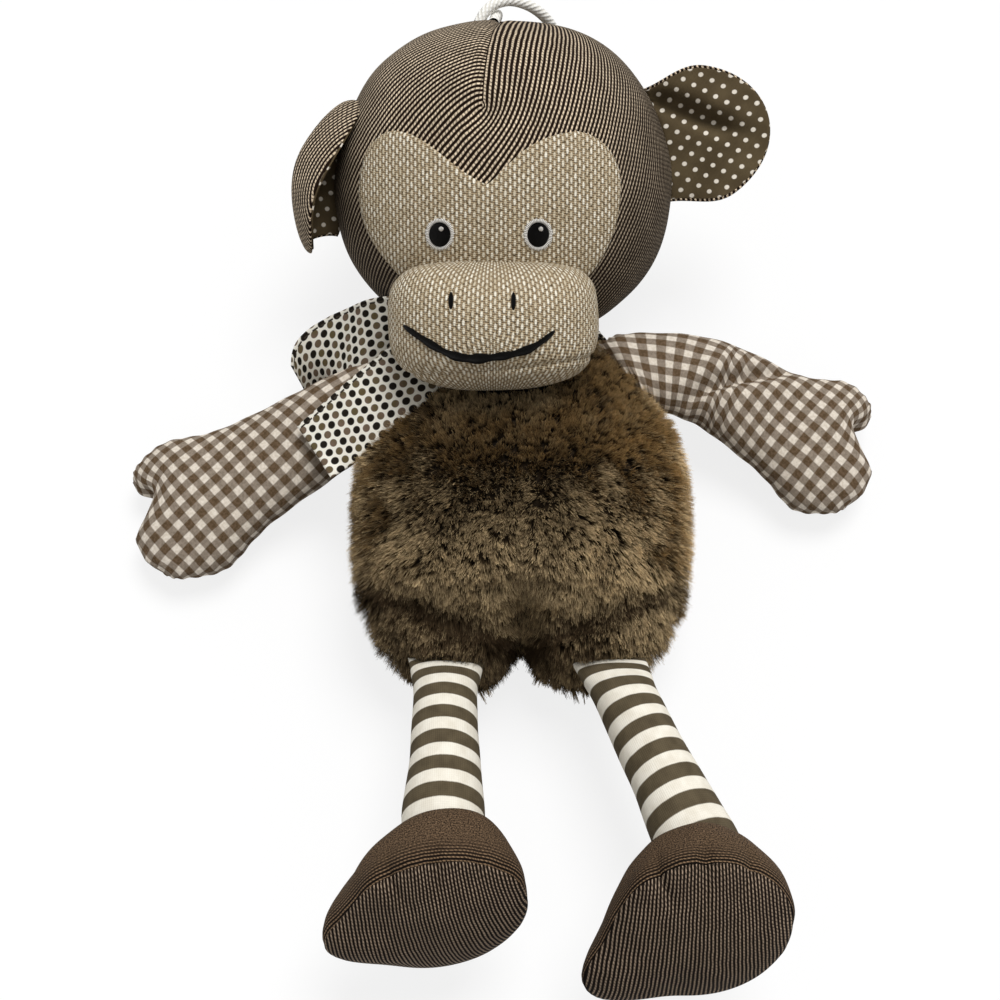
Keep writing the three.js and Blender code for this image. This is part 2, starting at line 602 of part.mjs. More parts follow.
function legForm({ hip, along, ankle }, opening) {
  const square = vec(0, 0, 1).cross(along).normalize();
  const above = along.clone().cross(square);
  const sewn = [
    // share of the length, half width, half thickness
    [0, HIP_SEAM_HALF_WIDTH, HIP_SEAM_HALF_THICKNESS],
    [0.1, HIP_SEAM_HALF_WIDTH, HIP_SEAM_HALF_THICKNESS + 2],
    [0.22, HIP_SEAM_HALF_WIDTH - 1, THIGH_RADIUS - 3],
    [0.36, THIGH_RADIUS + 0.4, THIGH_RADIUS],
    [0.7, THIGH_RADIUS + 1.6, THIGH_RADIUS + 1.6],
  ];
  const capSteps = 3;
  const last = sewn.length + capSteps;
  return {
    rings: last,
    columns: 12,
    at(t, angle, inset) {
      const row = Math.round(t * last);
      const cap = (row - sewn.length) / capSteps * (Math.PI / 2 - opening);
      const radius = ANKLE_RADIUS - inset;
      const round = radius * Math.cos(cap);
      const [share, wide, thick] = row < sewn.length ? sewn[row] : [1, round, round];
      const beyond = row < sewn.length ? 0 : radius * Math.sin(cap);
      const less = row < sewn.length ? inset : 0;
      const across = ACROSS.clone().lerp(square, Math.min(share * 2.5, 1)).normalize();
      return hip.clone().lerp(ankle, share)
        .addScaledVector(along, beyond)
        .addScaledVector(across, Math.cos(angle) * (wide - less))
        .addScaledVector(above, Math.sin(angle) * (thick - less));
    },
  };
}

function legPieces(name, plan) {
  const sleeve = legForm(plan, SLEEVE_OPENING);
  const cut = (geometry) => pared(solid(geometry), plan.seam);
  return {
    [`${name}_leg_sleeve`]: cut(panel(sleeve, COVER, {})),
    [`${name}_leg_filling`]: cut(filled(rowsOf(legForm(plan, 0.02), COVER + GAP))),
  };
}

// Feet: a flaring upper on a bulging teardrop sole
function footForms({ ankle }, facing, toeTurn, toeReach, soleShift) {
  const out = facing.clone().normalize();
  const right = vec(1, 0, 0).addScaledVector(out, -out.x).normalize();
  const above = out.clone().cross(right);
  const outline = (angle) => {
    const off = Math.atan2(Math.sin(angle - toeTurn), Math.cos(angle - toeTurn));
    const oval = 1 / Math.hypot(Math.cos(off) / SOLE_HALF_LENGTH, Math.sin(off) / SOLE_HALF_WIDTH);
    return oval + toeReach * Math.exp(-((off / TOE_SHARPNESS) ** 2));
  };
  const place = (angle, radius, share, height) => ankle.clone()
    .addScaledVector(right, Math.cos(angle) * radius + share * soleShift * Math.cos(toeTurn))
    .addScaledVector(above, Math.sin(angle) * radius - share * SOLE_DROP)
    .addScaledVector(out, height);
  const upper = {
    rings: 4,
    columns: 20,
    at(t, angle, inset) {
      const flare = Math.sin(t * Math.PI / 2) ** 0.85;
      const radius = THREE.MathUtils.lerp(ANKLE_RADIUS + 0.6, outline(angle), flare) - inset;
      const rise = 1 - Math.cos(t * Math.PI / 2);
      const height = THREE.MathUtils.lerp(FOOT_START, FOOT_HEIGHT, rise * 0.65 + t * 0.35);
      return place(angle, radius, flare, height);
    },
  };
  const sole = {
    rings: 3,
    columns: 20,
    at(t, angle, inset) {
      const share = 1 - t;
      const radius = share * (outline(angle) - inset * 0.6);
      return place(angle, radius, 1, FOOT_HEIGHT + GAP + SOLE_BULGE * (1 - share ** 2) - inset);
    },
  };
  return { upper, sole };
}

function footPieces(name, plan, ...solePlan) {
  const { upper, sole } = footForms(plan, ...solePlan);
  const lift = sole.at(1, 0, -COVER).sub(sole.at(1, 0, 0));
  const rows = [
    ...rowsOf(upper, COVER + 2 * GAP, { from: FOOT_FILLING_START, rings: 2 }),
    ...rowsOf(sole, COVER + 2 * GAP + 1).slice(1),
  ];
  return {
    [`${name}_foot_upper`]: panel(upper, COVER, {}),
    [`${name}_foot_sole`]: panel(sole, COVER, {}, lift),
    [`${name}_foot_filling`]: filled(rows),
  };
}

// Ribbon: a band round the neck, a knot at the toy's right and two tails.
// A tail's points give its middle line, and how far it rolls over as it goes.
function ribbonTail(points) {
  const line = new THREE.CatmullRomCurve3(points.map(([x, y, z]) => vec(x, y, z)));
  const rolled = through(points.map(([, , , roll]) => [THREE.MathUtils.degToRad(roll)]));
  const steps = 8;
  const sheet = (lift) => Array.from({ length: steps + 1 }, (_, i) => {
    const along = line.getTangent(i / steps);
    const level = vec(along.y, -along.x, 0).normalize();
    const [roll] = rolled(i / steps);
    const across = level.multiplyScalar(Math.cos(roll)).add(vec(0, 0, Math.sin(roll)));
    const normal = along.clone().cross(across).normalize();
    return [-0.5, -0.17, 0.17, 0.5].map((share) => line.getPoint(i / steps)
      .addScaledVector(across, share * RIBBON_WIDTH)
      .addScaledVector(normal, lift));
  });
  return panelBetween(sheet(RIBBON), sheet(0), false);
}

const FRONT_TAIL = [
  [-33.5, 54.9, 55.5, 0], [-45.3, 42.5, 57.5, 0], [-57.3, 33, 54, 0],
  [-68, 25.8, 48, 0], [-78, 18.9, 43, 0],
];
const BACK_TAIL = [
  [-44.7, 68.7, 48.5, 74], [-59.2, 68.6, 48.5, 74], [-70.2, 65.6, 43.5, 72],
  [-79, 60.4, 33.5, 70], [-85.3, 54.1, 21, 70],
];
const KNOT_PLACE = [-31.5, 62.3, 45.2];

function ribbonPieces() {
  const span = { from: BAND_START, to: BAND_END, rings: 2 };
  const band = panelBetween(rowsOf(body, -GAP - RIBBON, span), rowsOf(body, -GAP, span), true);
  const room = { from: BAND_START - BAND_MARGIN, to: BAND_END + BAND_MARGIN, rings: 2 };
  const clear = swollen(body, GAP).add(solid(filled(rowsOf(body, -2 * GAP - RIBBON, room))));
  const knot = new THREE.SphereGeometry(KNOT_RADIUS, 14, 10).scale(1.2, 1, 0.8).translate(...KNOT_PLACE);
  const knotSolid = solid(knot).subtract(clear);
  const roomForKnot = solid(new THREE.SphereGeometry(KNOT_RADIUS + GAP, 14, 10)
    .scale(1.2, 1, 0.85).translate(...KNOT_PLACE));
  const others = [clear, roomForKnot, swollen(head, 2 * GAP), swollen(muzzle, GAP)];
  const tail = (points) => geometryOf(
    others.reduce((cloth, other) => cloth.subtract(other), solid(ribbonTail(points))));
  return {
    ribbon_neck_band: band,
    ribbon_knot: geometryOf(knotSolid),
    ribbon_front_tail: tail(FRONT_TAIL),
    ribbon_back_tail: tail(BACK_TAIL),
  };
}

// Hanging loop: a cord with both ends sewn into the crown seam, fallen over the back of the head;
// its points are given across, forward and up on the head
const LOOP_ROUTE = [
  [-9.4, 0.2, 62.4], [-7, -0.7, 66.5], [-3.3, -2.1, 69.7], [2.5, -4.4, 71.3], [8.8, -8.2, 70.2],
  [14.2, -13.4, 67.6], [18.4, -20.2, 63.9], [20.8, -27.4, 59.6], [21.2, -34.6, 54.8], [19, -41.4, 49.6],
  [14.6, -47.2, 44.6], [7.2, -50, 42], [0.2, -49.1, 43.6], [-5.2, -44.3, 49.1], [-6.2, -38, 54.9],
  [-5.6, -31.4, 59.5], [-4.2, -24.6, 62.9], [-2.8, -17.8, 65.2], [-2.2, -11.6, 66.3], [-2.6, -5.6, 65.8],
  [-3.6, 0, 62.6],
];

function loopPiece() {
  const line = new THREE.CatmullRomCurve3(LOOP_ROUTE.map((place) => onHead(...place)));
  const section = new THREE.Shape().absarc(0, 0, LOOP_DIAMETER / 2, 0, TAU);
  const cord = new THREE.ExtrudeGeometry(section, {
    extrudePath: line, steps: 30, bevelEnabled: false, curveSegments: 4,
  });
  return { hanging_loop: geometryOf(solid(cord).subtract(swollen(head, GAP))) };
}

// Cloth colours
const cloth = (color, roughness = 0.9) => new THREE.MeshStandardMaterial({ color, roughness, metalness: 0 });
const FUR = 0x5a4634;
const TWILL = 0x4a3d33;
const LINEN_COLOUR = 0xb9a68c;
const DOTTED = 0x6e6150;
const GINGHAM = 0xb7a596;
const STRIPED = 0xa79d8e;
const RIBBON_COLOUR = 0xd8d3c6;
const BLACK = 0x12100e;
const WHITE = 0xf2efe8;
const FIBRE = 0xf4f2ee;

const COLOURS = [
  [/filling$/, FIBRE], [/^body_/, FUR], [/^(face_patch|muzzle)/, LINEN_COLOUR],
  [/lining$/, DOTTED], [/^(head_|.*ear_back|.*foot_)/, TWILL], [/arm_/, GINGHAM], [/leg_/, STRIPED],
  [/^ribbon/, RIBBON_COLOUR], [/(eye_ring|highlight|loop)$/, WHITE], [/./, BLACK],
];

function meshes(pieces) {
  return Object.entries(pieces).map(([name, geometry]) => {
    geometry.computeVertexNormals();
    const [, colour] = COLOURS.find(([pattern]) => pattern.test(name));
    const mesh = new THREE.Mesh(geometry, cloth(colour));
    mesh.name = name;
    return mesh;
  });
}

function assembly(...sets) {
  const group = new THREE.Group();
  for (const pieces of sets) group.add(...meshes(pieces));
  return group;
}

const leftArm = armForm(1, LEFT_UPPER_ARM, LEFT_FOREARM, LEFT_UPPER_ARM_ANGLE, LEFT_FOREARM_ANGLE);
const rightArm = armForm(-1, RIGHT_UPPER_ARM, RIGHT_FOREARM, RIGHT_UPPER_ARM_ANGLE, RIGHT_FOREARM_ANGLE);
const leftLeg = legPlan(1, LEFT_HIP_ACROSS, LEFT_LEG_LENGTH, LEFT_LEG_SPREAD, LEFT_LEG_RISE);
const rightLeg = legPlan(-1, RIGHT_HIP_ACROSS, RIGHT_LEG_LENGTH, RIGHT_LEG_SPREAD, RIGHT_LEG_RISE);

const monkey = new THREE.Group();
monkey.add(
  assembly(bodyPieces(), ribbonPieces()),
  assembly(headPieces(), muzzlePieces(), facePieces(), loopPiece()),
  assembly(
    earPieces('left', 1, LEFT_EAR_UP, LEFT_EAR_CURL),
    earPieces('right', -1, RIGHT_EAR_UP, RIGHT_EAR_CURL)),
  assembly(armPieces('left', 1, leftArm), armPieces('right', -1, rightArm)),
  assembly(legPieces('left', leftLeg), legPieces('right', rightLeg)),
  assembly(
    footPieces('left', leftLeg, LEFT_SOLE_FACING, LEFT_TOE_TURN, LEFT_TOE_REACH, LEFT_SOLE_SHIFT),
    footPieces('right', rightLeg, RIGHT_SOLE_FACING, RIGHT_TOE_TURN, RIGHT_TOE_REACH, RIGHT_SOLE_SHIFT)),
);

export default monkey;
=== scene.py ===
# %% [markdown]
# # A plush monkey on its back
# The toy is sewn from flat cloth and stuffed. Each cover below starts the same way, as a flat grid, and
# every point of the grid is then carried to its place on the stuffed form. The grid remembers how far
# along the cloth each point lies, so checks, ribs and dots keep their real size round every curve.

# %% Open the packed model
import math
import random
from itertools import accumulate, pairwise

import bmesh
import bpy
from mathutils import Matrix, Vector, noise


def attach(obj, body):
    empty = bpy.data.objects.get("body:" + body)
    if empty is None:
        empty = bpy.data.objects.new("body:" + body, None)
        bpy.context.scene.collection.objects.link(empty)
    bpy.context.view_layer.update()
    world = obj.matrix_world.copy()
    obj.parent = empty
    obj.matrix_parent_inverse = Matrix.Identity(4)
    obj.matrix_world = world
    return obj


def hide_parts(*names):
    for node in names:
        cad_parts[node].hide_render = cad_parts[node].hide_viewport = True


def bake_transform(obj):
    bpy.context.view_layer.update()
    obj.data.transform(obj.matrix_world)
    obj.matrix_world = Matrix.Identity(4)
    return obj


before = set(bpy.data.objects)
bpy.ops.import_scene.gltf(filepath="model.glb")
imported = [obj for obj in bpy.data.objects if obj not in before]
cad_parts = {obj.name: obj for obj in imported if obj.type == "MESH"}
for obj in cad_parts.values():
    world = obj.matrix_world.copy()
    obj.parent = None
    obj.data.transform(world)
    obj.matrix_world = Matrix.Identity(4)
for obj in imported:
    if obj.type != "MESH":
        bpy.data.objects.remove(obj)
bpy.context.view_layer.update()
MM = 0.001
TAU = math.tau
print("solids in the frame:", len(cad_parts))

# %% [markdown]
# ## Camera
# The photograph looks down on the toy from beyond its feet, about 20 degrees off the vertical. A long lens
# from that far keeps the feet only a little larger than the head, as the picture shows.

# %% Set up the camera
CAMERA_PLACE = Vector((-7.9, -256.5, 746.8)) * MM
CAMERA_TARGET = Vector((-7.9, 0, 42)) * MM
SENSOR_WIDTH, LENS = 36, 72.2
scene = bpy.context.scene
camera = bpy.data.objects.new("camera", bpy.data.cameras.new("camera"))
camera.data.sensor_width = SENSOR_WIDTH
camera.data.lens = LENS
camera.location = CAMERA_PLACE
camera.rotation_euler = (CAMERA_TARGET - CAMERA_PLACE).to_track_quat("-Z", "Y").to_euler()
scene.collection.objects.link(camera)
scene.camera = camera
print("camera stands off", round((CAMERA_PLACE - CAMERA_TARGET).length, 3), "m")

# %% [markdown]
# ## A small language for shader maths
# Each finish is a sum on cloth coordinates, so a wrapper round a node socket lets it be written as one.
# Values use Python's operators, colours go through Mix, and one method adds any other node.

# %% Sockets that take Python's operators
CLOTH_SPECULAR = 0.12
DRIFT_SIZE = 6


class Wire:
    """One socket of a node tree, with operators that add Math nodes."""

    def __init__(self, tree, socket=None):
        self.tree = tree
        self.socket = socket

    def node(self, kind, settings=None, values=None, out=0):
        made = self.tree.nodes.new("ShaderNode" + kind)
        for name, value in (settings or {}).items():
            setattr(made, name, value)
        for name, value in (values or {}).items():
            if isinstance(value, Wire):
                self.tree.links.new(value.socket, made.inputs[name])
            else:
                made.inputs[name].default_value = value
        return Wire(self.tree, made.outputs[out])

    def math(self, operation, *values):
        return self.node("Math", {"operation": operation}, dict(enumerate((self, *values))))

    def __add__(self, other):
        return self.math("ADD", other)

    __radd__ = __add__

    def __mul__(self, other):
        return self.math("MULTIPLY", other)

    __rmul__ = __mul__

    def __sub__(self, other):
        return self.math("SUBTRACT", other)

    def __rsub__(self, other):
        return (self * -1) + other

    def __truediv__(self, other):
        return self.math("DIVIDE", other)

    def swing(self):
        """0 in the middle of each repeat and 1 at its ends."""
        return (self.math("FRACT") - 0.5).math("ABSOLUTE") * 2

    def smooth(self, low, high):
        return self.node("MapRange", {"interpolation_type": "SMOOTHSTEP"},
                         {"Value": self, "From Min": low, "From Max": high})

    def mix(self, first, second):
        return self.node("Mix", {"data_type": "RGBA"}, {0: self, 6: first, 7: second}, out=2)

    def parts(self):
        split = self.node("SeparateXYZ", None, {0: self})
        outputs = split.socket.node.outputs
        return Wire(self.tree, outputs[0]), Wire(self.tree, outputs[1])

    def speckle(self, size, detail=2.0):
        return self.node("TexNoise", None, {"Vector": self, "Scale": 1 / size, "Detail": detail})


def dice(first, second):
    """A steady random value for each whole pair of numbers."""
    cell = first.node("CombineXYZ", None, {0: first.math("FLOOR"), 1: second.math("FLOOR")})
    return cell.node("TexWhiteNoise", {"noise_dimensions": "2D"}, {"Vector": cell}, "Value")


def paint(code):
    """A colour as it looks on screen, such as d8c8b0, made linear for the shader."""
    shares = [int(code[i:i + 2], 16) / 255 for i in (0, 2, 4)]
    return (*[s / 12.92 if s < 0.04045 else ((s + 0.055) / 1.055) ** 2.4 for s in shares], 1.0)


def new_finish(name, roughness):
    """A cloth material: its shader and the wire that starts its node tree."""
    material = bpy.data.materials.new(name)
    material.use_nodes = True
    shader = material.node_tree.nodes["Principled BSDF"]
    shader.inputs["Roughness"].default_value = roughness
    shader.inputs["Specular IOR Level"].default_value = CLOTH_SPECULAR
    print("finish", name)
    return material, shader, Wire(material.node_tree)


def join(shader, colour, height=None, depth=0.0):
    """Links a colour, and a height whose relief is depth millimetres, to a shader."""
    tree = colour.tree
    tree.links.new(colour.socket, shader.inputs["Base Color"])
    if height:
        bump = height.node("Bump", None, {"Height": height, "Distance": depth * MM, "Strength": 1.0})
        tree.links.new(bump.socket, shader.inputs["Normal"])


def cloth_place(start, wander=0.0):
    """Across and along the cloth in millimetres, with the threads a little uneven."""
    flat = start.node("UVMap", {"uv_map": "cloth"})
    across, along = flat.parts()
    if wander:
        drift = flat.speckle(DRIFT_SIZE * MM) - 0.5
        across = across + drift * (wander * MM)
        along = along + drift * (wander * MM)
    return across / MM, along / MM, flat


print("a wire can:", [name for name in vars(Wire) if not name.startswith("_")])

# %% [markdown]
# ## Light and ground
# The picture has soft light from high above the head and a white ground that keeps a faint shadow. An even
# sky and one wide sun give that at a plain level. The ground shows mostly white to the camera and only a
# share of the light that falls on it, so it stays white while the shadow stays pale.

# %% Sky, sun and ground
WHITE = (1, 1, 1, 1)
SKY_LEVEL, SUN_LEVEL, SUN_SPREAD = 0.44, 2.5, math.radians(30)
SUN_DIRECTION = Vector((-0.18, -0.36, -0.92))
GROUND_GREY, GROUND_GLOW, GROUND_GLOW_SHARE = 0.65, 1.1, 0.74
GROUND_HALF_SIZE, GROUND_DROP = 3, 0.4
world = bpy.data.worlds.new("sky")
world.use_nodes = True
scene.world = world
sky = Wire(world.node_tree)
seen = sky.node("LightPath", None, None, "Is Camera Ray")
level = seen * (1 - SKY_LEVEL) + SKY_LEVEL
backdrop = seen.node("Background", None, {"Color": WHITE, "Strength": level})
world.node_tree.links.new(backdrop.socket, world.node_tree.nodes["World Output"].inputs["Surface"])

sun = bpy.data.objects.new("window", bpy.data.lights.new("window", "SUN"))
sun.data.energy = SUN_LEVEL
sun.data.angle = SUN_SPREAD
sun.rotation_euler = SUN_DIRECTION.to_track_quat("-Z", "Y").to_euler()
scene.collection.objects.link(sun)

ground_finish = bpy.data.materials.new("white_ground")
ground_finish.use_nodes = True
ground_tree = ground_finish.node_tree
start = Wire(ground_tree)
rays = start.node("LightPath").socket.node.outputs
seen, mirrored, through_glass = [
    Wire(ground_tree, rays[f"Is {kind} Ray"]) for kind in ("Camera", "Glossy", "Transmission")]
direct = seen.math("MAXIMUM", mirrored).math("MAXIMUM", through_glass)
paper = start.node("BsdfDiffuse", None, {"Color": (GROUND_GREY, GROUND_GREY, GROUND_GREY, 1)})
glow = start.node("Emission", None, {"Color": WHITE, "Strength": GROUND_GLOW})
white = start.node("MixShader", None, {0: direct * GROUND_GLOW_SHARE, 1: paper, 2: glow})
ground_tree.links.new(white.socket, ground_tree.nodes["Material Output"].inputs["Surface"])

bm = bmesh.new()
bmesh.ops.create_grid(bm, x_segments=1, y_segments=1, size=GROUND_HALF_SIZE)
ground_mesh = bpy.data.meshes.new("ground")
bm.to_mesh(ground_mesh)
bm.free()
ground_mesh.materials.append(ground_finish)
ground = bpy.data.objects.new("ground", ground_mesh)
ground.location.z = -GROUND_DROP * MM
scene.collection.objects.link(ground)
scene.view_settings.view_transform = "Standard"
print("sky", SKY_LEVEL, "and sun", SUN_LEVEL)

# %% [markdown]
# ## From a grid to a sewn cover
# A stuffed limb could be sculpted from a sphere, but then its weave would have no direction. Here a grid's
# columns run round the limb and its rows along it. Where the first and last columns meet they are merged,
# which closes the cover, and the cloth coordinates are measured along the finished surface.

# %% Tools for cloth
MERGE_DISTANCE = 0.02
CORNER_PULL = 0.0001


def smoothstep(value, low, high):
    share = min(max((value - low) / (high - low), 0), 1)
    return share * share * (3 - 2 * share)


def lerp(first, second, share):
    return first + (second - first) * share


def hump(value, width):
    """1 at zero, falling softly to nothing a few widths away."""
    return math.exp(-(value / width) ** 2)


def through(*stations):
    """A smooth row of values through the given rows, for a share from 0 to 1."""
    rows = [Vector(row) for row in stations]
    rows = [2 * rows[0] - rows[1], *rows, 2 * rows[-1] - rows[-2]]

    def row_at(t):
        place = t * (len(stations) - 1)
        i = min(max(int(place), 0), len(stations) - 2)
        f = place - i
        a, b, c, d = rows[i:i + 4]
        leave = (c - a) / 2
        reach = (d - b) / 2
        return b + f * (leave + f * (3 * (c - b) - 2 * leave - reach + f * (2 * (b - c) + leave + reach)))

    return row_at


def rounded(angle, power):
    c = math.cos(angle)
    s = math.sin(angle)
    return math.copysign(abs(c) ** power, c), math.copysign(abs(s) ** power, s)


def measured(form, columns, rows, middle=0.5):
    """Cloth coordinates of a grid: across from its middle column, and along that column."""
    spine = [form(middle, j / rows) for j in range(rows + 1)]
    along = [0, *accumulate((b - a).length for a, b in pairwise(spine))]
    table = {}
    for j in range(rows + 1):
        row = [form(i / columns, j / rows) for i in range(columns + 1)]
        across = [0, *accumulate((b - a).length for a, b in pairwise(row))]
        zero = across[round(middle * columns)]
        for i in range(columns + 1):
            table[i, j] = (across[i] - zero, along[j])
    return lambda u, v: table[round(u * columns), round(v * rows)]


def spread_from_tip(form, columns, rows, right, above):
    """Cloth coordinates of a dome whose rows run in to its tip, with the threads upright there."""
    table = {}
    for i in range(columns + 1):
        line = [form(i / columns, j / rows) for j in range(rows, -1, -1)]
        reach = [0, *accumulate((b - a).length for a, b in pairwise(line))]
        away = line[-1] - line[0]
        turn = math.atan2(away.dot(above), away.dot(right))
        for j in range(rows + 1):
            table[i, j] = (reach[rows - j] * math.cos(turn), reach[rows - j] * math.sin(turn))
    return lambda u, v: table[round(u * columns), round(v * rows)]


def grid(form, columns, rows, lay):
    """A grid that form places, in millimetres, with cloth coordinates from lay."""
    bm = bmesh.new()
    bmesh.ops.create_grid(bm, x_segments=columns, y_segments=rows, size=0.5)
    cloth = bm.loops.layers.uv.new("cloth")
    for face in bm.faces:
        middle = face.calc_center_median()
        for loop in face.loops:
            inside = loop.vert.co.lerp(middle, CORNER_PULL)
            loop[cloth].uv = Vector(lay(inside.x + 0.5, inside.y + 0.5)) * MM
    for vert in bm.verts:
        vert.co = form(vert.co.x + 0.5, vert.co.y + 0.5) * MM
    bmesh.ops.remove_doubles(bm, verts=bm.verts, dist=MERGE_DISTANCE * MM)
    bmesh.ops.recalc_face_normals(bm, faces=bm.faces)
    return bm


def plain_grid(form, columns, rows):
    """A grid whose cloth coordinates are measured along it."""
    return grid(form, columns, rows, measured(form, columns, rows))


def uneven(point, size, amount):
    """How far lumps in the filling push the cloth in or out at a place."""
    return noise.noise(point / size) * amount


def piece(name, bm, body, finish, stands_for=(), wall=0.0):
    """An object made of a mesh, on a body if one is named, in place of the solids that it stands for."""
    mesh = bpy.data.meshes.new(name)
    bm.to_mesh(mesh)
    bm.free()
    mesh.shade_smooth()
    mesh.materials.append(finish)
    made = bpy.data.objects.new(name, mesh)
    scene.collection.objects.link(made)
    if wall:
        sheet = made.modifiers.new("cloth", "SOLIDIFY")
        sheet.thickness = wall * MM
        sheet.offset = -1
    if body:
        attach(made, body)
    if stands_for:
        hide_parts(*stands_for)
    print(name, "faces", len(mesh.polygons))
    return made


print("a quarter of the way on a smooth row through 0, 1 and 4:", through((0, 0), (1, 1), (4, 4))(0.25).x)

# %% [markdown]
# ## The head's own directions
# The head is tipped forward over the chest. Everything on it is placed by how far it lies across, forward
# and up on the head, so one tilt carries the whole face.

# %% Head frame
HEAD_TILT = math.radians(29)
HEAD_HALF_WIDTH, HEAD_UP, HEAD_DOWN, HEAD_FRONT, HEAD_BACK = 65, 63.5, 58, 54, 58
HEAD_FULLNESS = 0.82
FLATTENED = 0.5
OUTSIDE = 2.0
ACROSS = Vector((1, 0, 0))
FORWARD = Vector((0, -math.sin(HEAD_TILT), math.cos(HEAD_TILT)))
UPWARD = Vector((0, math.cos(HEAD_TILT), math.sin(HEAD_TILT)))
HEAD_HEIGHT = math.hypot(HEAD_BACK * math.cos(HEAD_TILT), HEAD_UP * math.sin(HEAD_TILT)) - FLATTENED
HEAD_CENTRE = Vector((-6.7, 122, HEAD_HEIGHT))


def on_head(across, forward, up):
    return HEAD_CENTRE + ACROSS * across + FORWARD * forward + UPWARD * up


def head_place(point):
    away = point - HEAD_CENTRE
    return away.dot(ACROSS), away.dot(FORWARD), away.dot(UPWARD)


def head_share(point):
    """Below 1 inside the stuffed head, and above 1 outside it."""
    across, forward, up = head_place(point)
    rise = up / (HEAD_UP if up > 0 else HEAD_DOWN)
    if abs(rise) >= 1:
        return OUTSIDE
    level = math.hypot(across / HEAD_HALF_WIDTH, forward / (HEAD_FRONT if forward > 0 else HEAD_BACK))
    return level / (1 - rise * rise) ** (HEAD_FULLNESS / 2)


print("middle of the head:", [round(v, 1) for v in HEAD_CENTRE])

# %% [markdown]
# ## Hanging loop
# A soft white braid about 4 mm thick, with both ends sewn into the crown seam and its loop fallen over the
# back of the head. A curve with a bevel would do, but a tube on a listed path gets cloth coordinates,
# so the braid can run along it.

# %% Cord finish
LOOP_DIAMETER = 4.2
BRAID_STRANDS, BRAID_PITCH = 6, 2.6


def braided_cord():
    material, shader, start = new_finish("braided_cord", roughness=0.7)
    round_it, along, _ = cloth_place(start)
    lean = round_it / (LOOP_DIAMETER * math.pi / BRAID_STRANDS)
    run = along / BRAID_PITCH
    plait = (lean + run).swing() * (1 - (lean - run).swing() * 0.5)
    shade = plait.smooth(0.0, 0.75)
    join(shader, shade.mix(paint("e6e3da"), paint("fffefa")), shade, depth=0.25)
    return material


cord_finish = braided_cord()

# %% Hanging loop
LOOP_ROUTE = [
    (-9.4, 0.2, 62.4), (-7, -0.7, 66.5), (-3.3, -2.1, 69.7), (2.5, -4.4, 71.3), (8.8, -8.2, 70.2),
    (14.2, -13.4, 67.6), (18.4, -20.2, 63.9), (20.8, -27.4, 59.6), (21.2, -34.6, 54.8), (19, -41.4, 49.6),
    (14.6, -47.2, 44.6), (7.2, -50, 42), (0.2, -49.1, 43.6), (-5.2, -44.3, 49.1), (-6.2, -38, 54.9),
    (-5.6, -31.4, 59.5), (-4.2, -24.6, 62.9), (-2.8, -17.8, 65.2), (-2.2, -11.6, 66.3), (-2.6, -5.6, 65.8),
    (-3.6, 0, 62.6),
]
LOOP_SIDES, LOOP_STEPS = 14, 160
loop_line = through(*[on_head(*place) for place in LOOP_ROUTE])
loop_path = [loop_line(i / LOOP_STEPS) for i in range(LOOP_STEPS + 1)]


def tube(path, radius):
    """A form that runs round a path without twisting."""
    sides = []
    side = ACROSS.copy()
    for before, after in zip([path[0], *path], [*path[1:], path[-1]]):
        along = (after - before).normalized()
        side = (side - along * side.dot(along)).normalized()
        sides.append((side.copy(), along.cross(side)))

    def form(u, v):
        i = round(v * (len(path) - 1))
        first, second = sides[i]
        return path[i] + (first * math.cos(u * TAU) + second * math.sin(u * TAU)) * radius

    return form


bm = plain_grid(tube(loop_path, LOOP_DIAMETER / 2), LOOP_SIDES, LOOP_STEPS)
hanging_loop = piece("hanging_loop_braid", bm, "head", cord_finish, ["hanging_loop"])
loop_path[0] * MM
[point * MM for point in loop_path]

# %% [markdown]
# ## Ribbed twill
# The head, the backs of the ears and the feet share one cloth: dark ground with pale raised ribs, each rib
# a rope of short slanted stitches. An array of modelled ropes would be far too heavy, so ribs come from
# the distance across the cloth. The stitches lean because their count along a rib also grows across it.
# On the head the ribs are painted darker towards the edge of each cover, a painted shade where the light
# falls away round the head. On the feet they are finer, and rubbed to a fuzz at the ankle.

# %% Twill finish
HEAD_RIB, FOOT_RIB = 1.58, 1.25
RIB_STITCH, STITCH_LEAN = 1.45, 0.75


def ribbed_twill(name, pitch, ground_colour, rib_colour, rubbed=None, edge_painted_shade=None):
    material, shader, start = new_finish(name, roughness=0.9)
    across, along, flat = cloth_place(start, wander=0.7)
    rib = across / pitch
    ridge = 1 - rib.swing().smooth(0.28, 0.58)
    stitch = (along / RIB_STITCH + rib * STITCH_LEAN).swing()
    rope = ridge * (1 - stitch.smooth(0.4, 1.0) * 0.7)
    worn = flat.speckle(9 * MM, detail=4).smooth(0.25, 0.8) * 0.3 + 0.75
    fleck = flat.speckle(0.5 * MM).smooth(0.3, 0.7) * 0.5 + 0.6
    shade = rope * worn * fleck
    if rubbed:
        fuzz = flat.speckle(0.55 * MM, detail=3).smooth(0.3, 0.72) * 0.7
        shade = shade + (fuzz - shade) * (1 - across.smooth(*rubbed))
    # painted shade: the ribs grow darker with distance from the middle of the cover, towards its edge
    if edge_painted_shade:
        away = (across * across + along * along).math("SQRT")
        shade = shade * (1 - away.smooth(*edge_painted_shade) * 0.6)
    join(shader, shade.mix(paint(ground_colour), paint(rib_colour)), rope, depth=0.4)
    return material


head_twill = ribbed_twill("ribbed_twill", HEAD_RIB, "190c03", "ffe8c8", edge_painted_shade=(30, 85))
sole_twill = ribbed_twill("ribbed_twill_sole", FOOT_RIB, "110903", "b09a84")
upper_twill = ribbed_twill("ribbed_twill_upper", FOOT_RIB, "0e0804", "967a5e", rubbed=(14, 26))

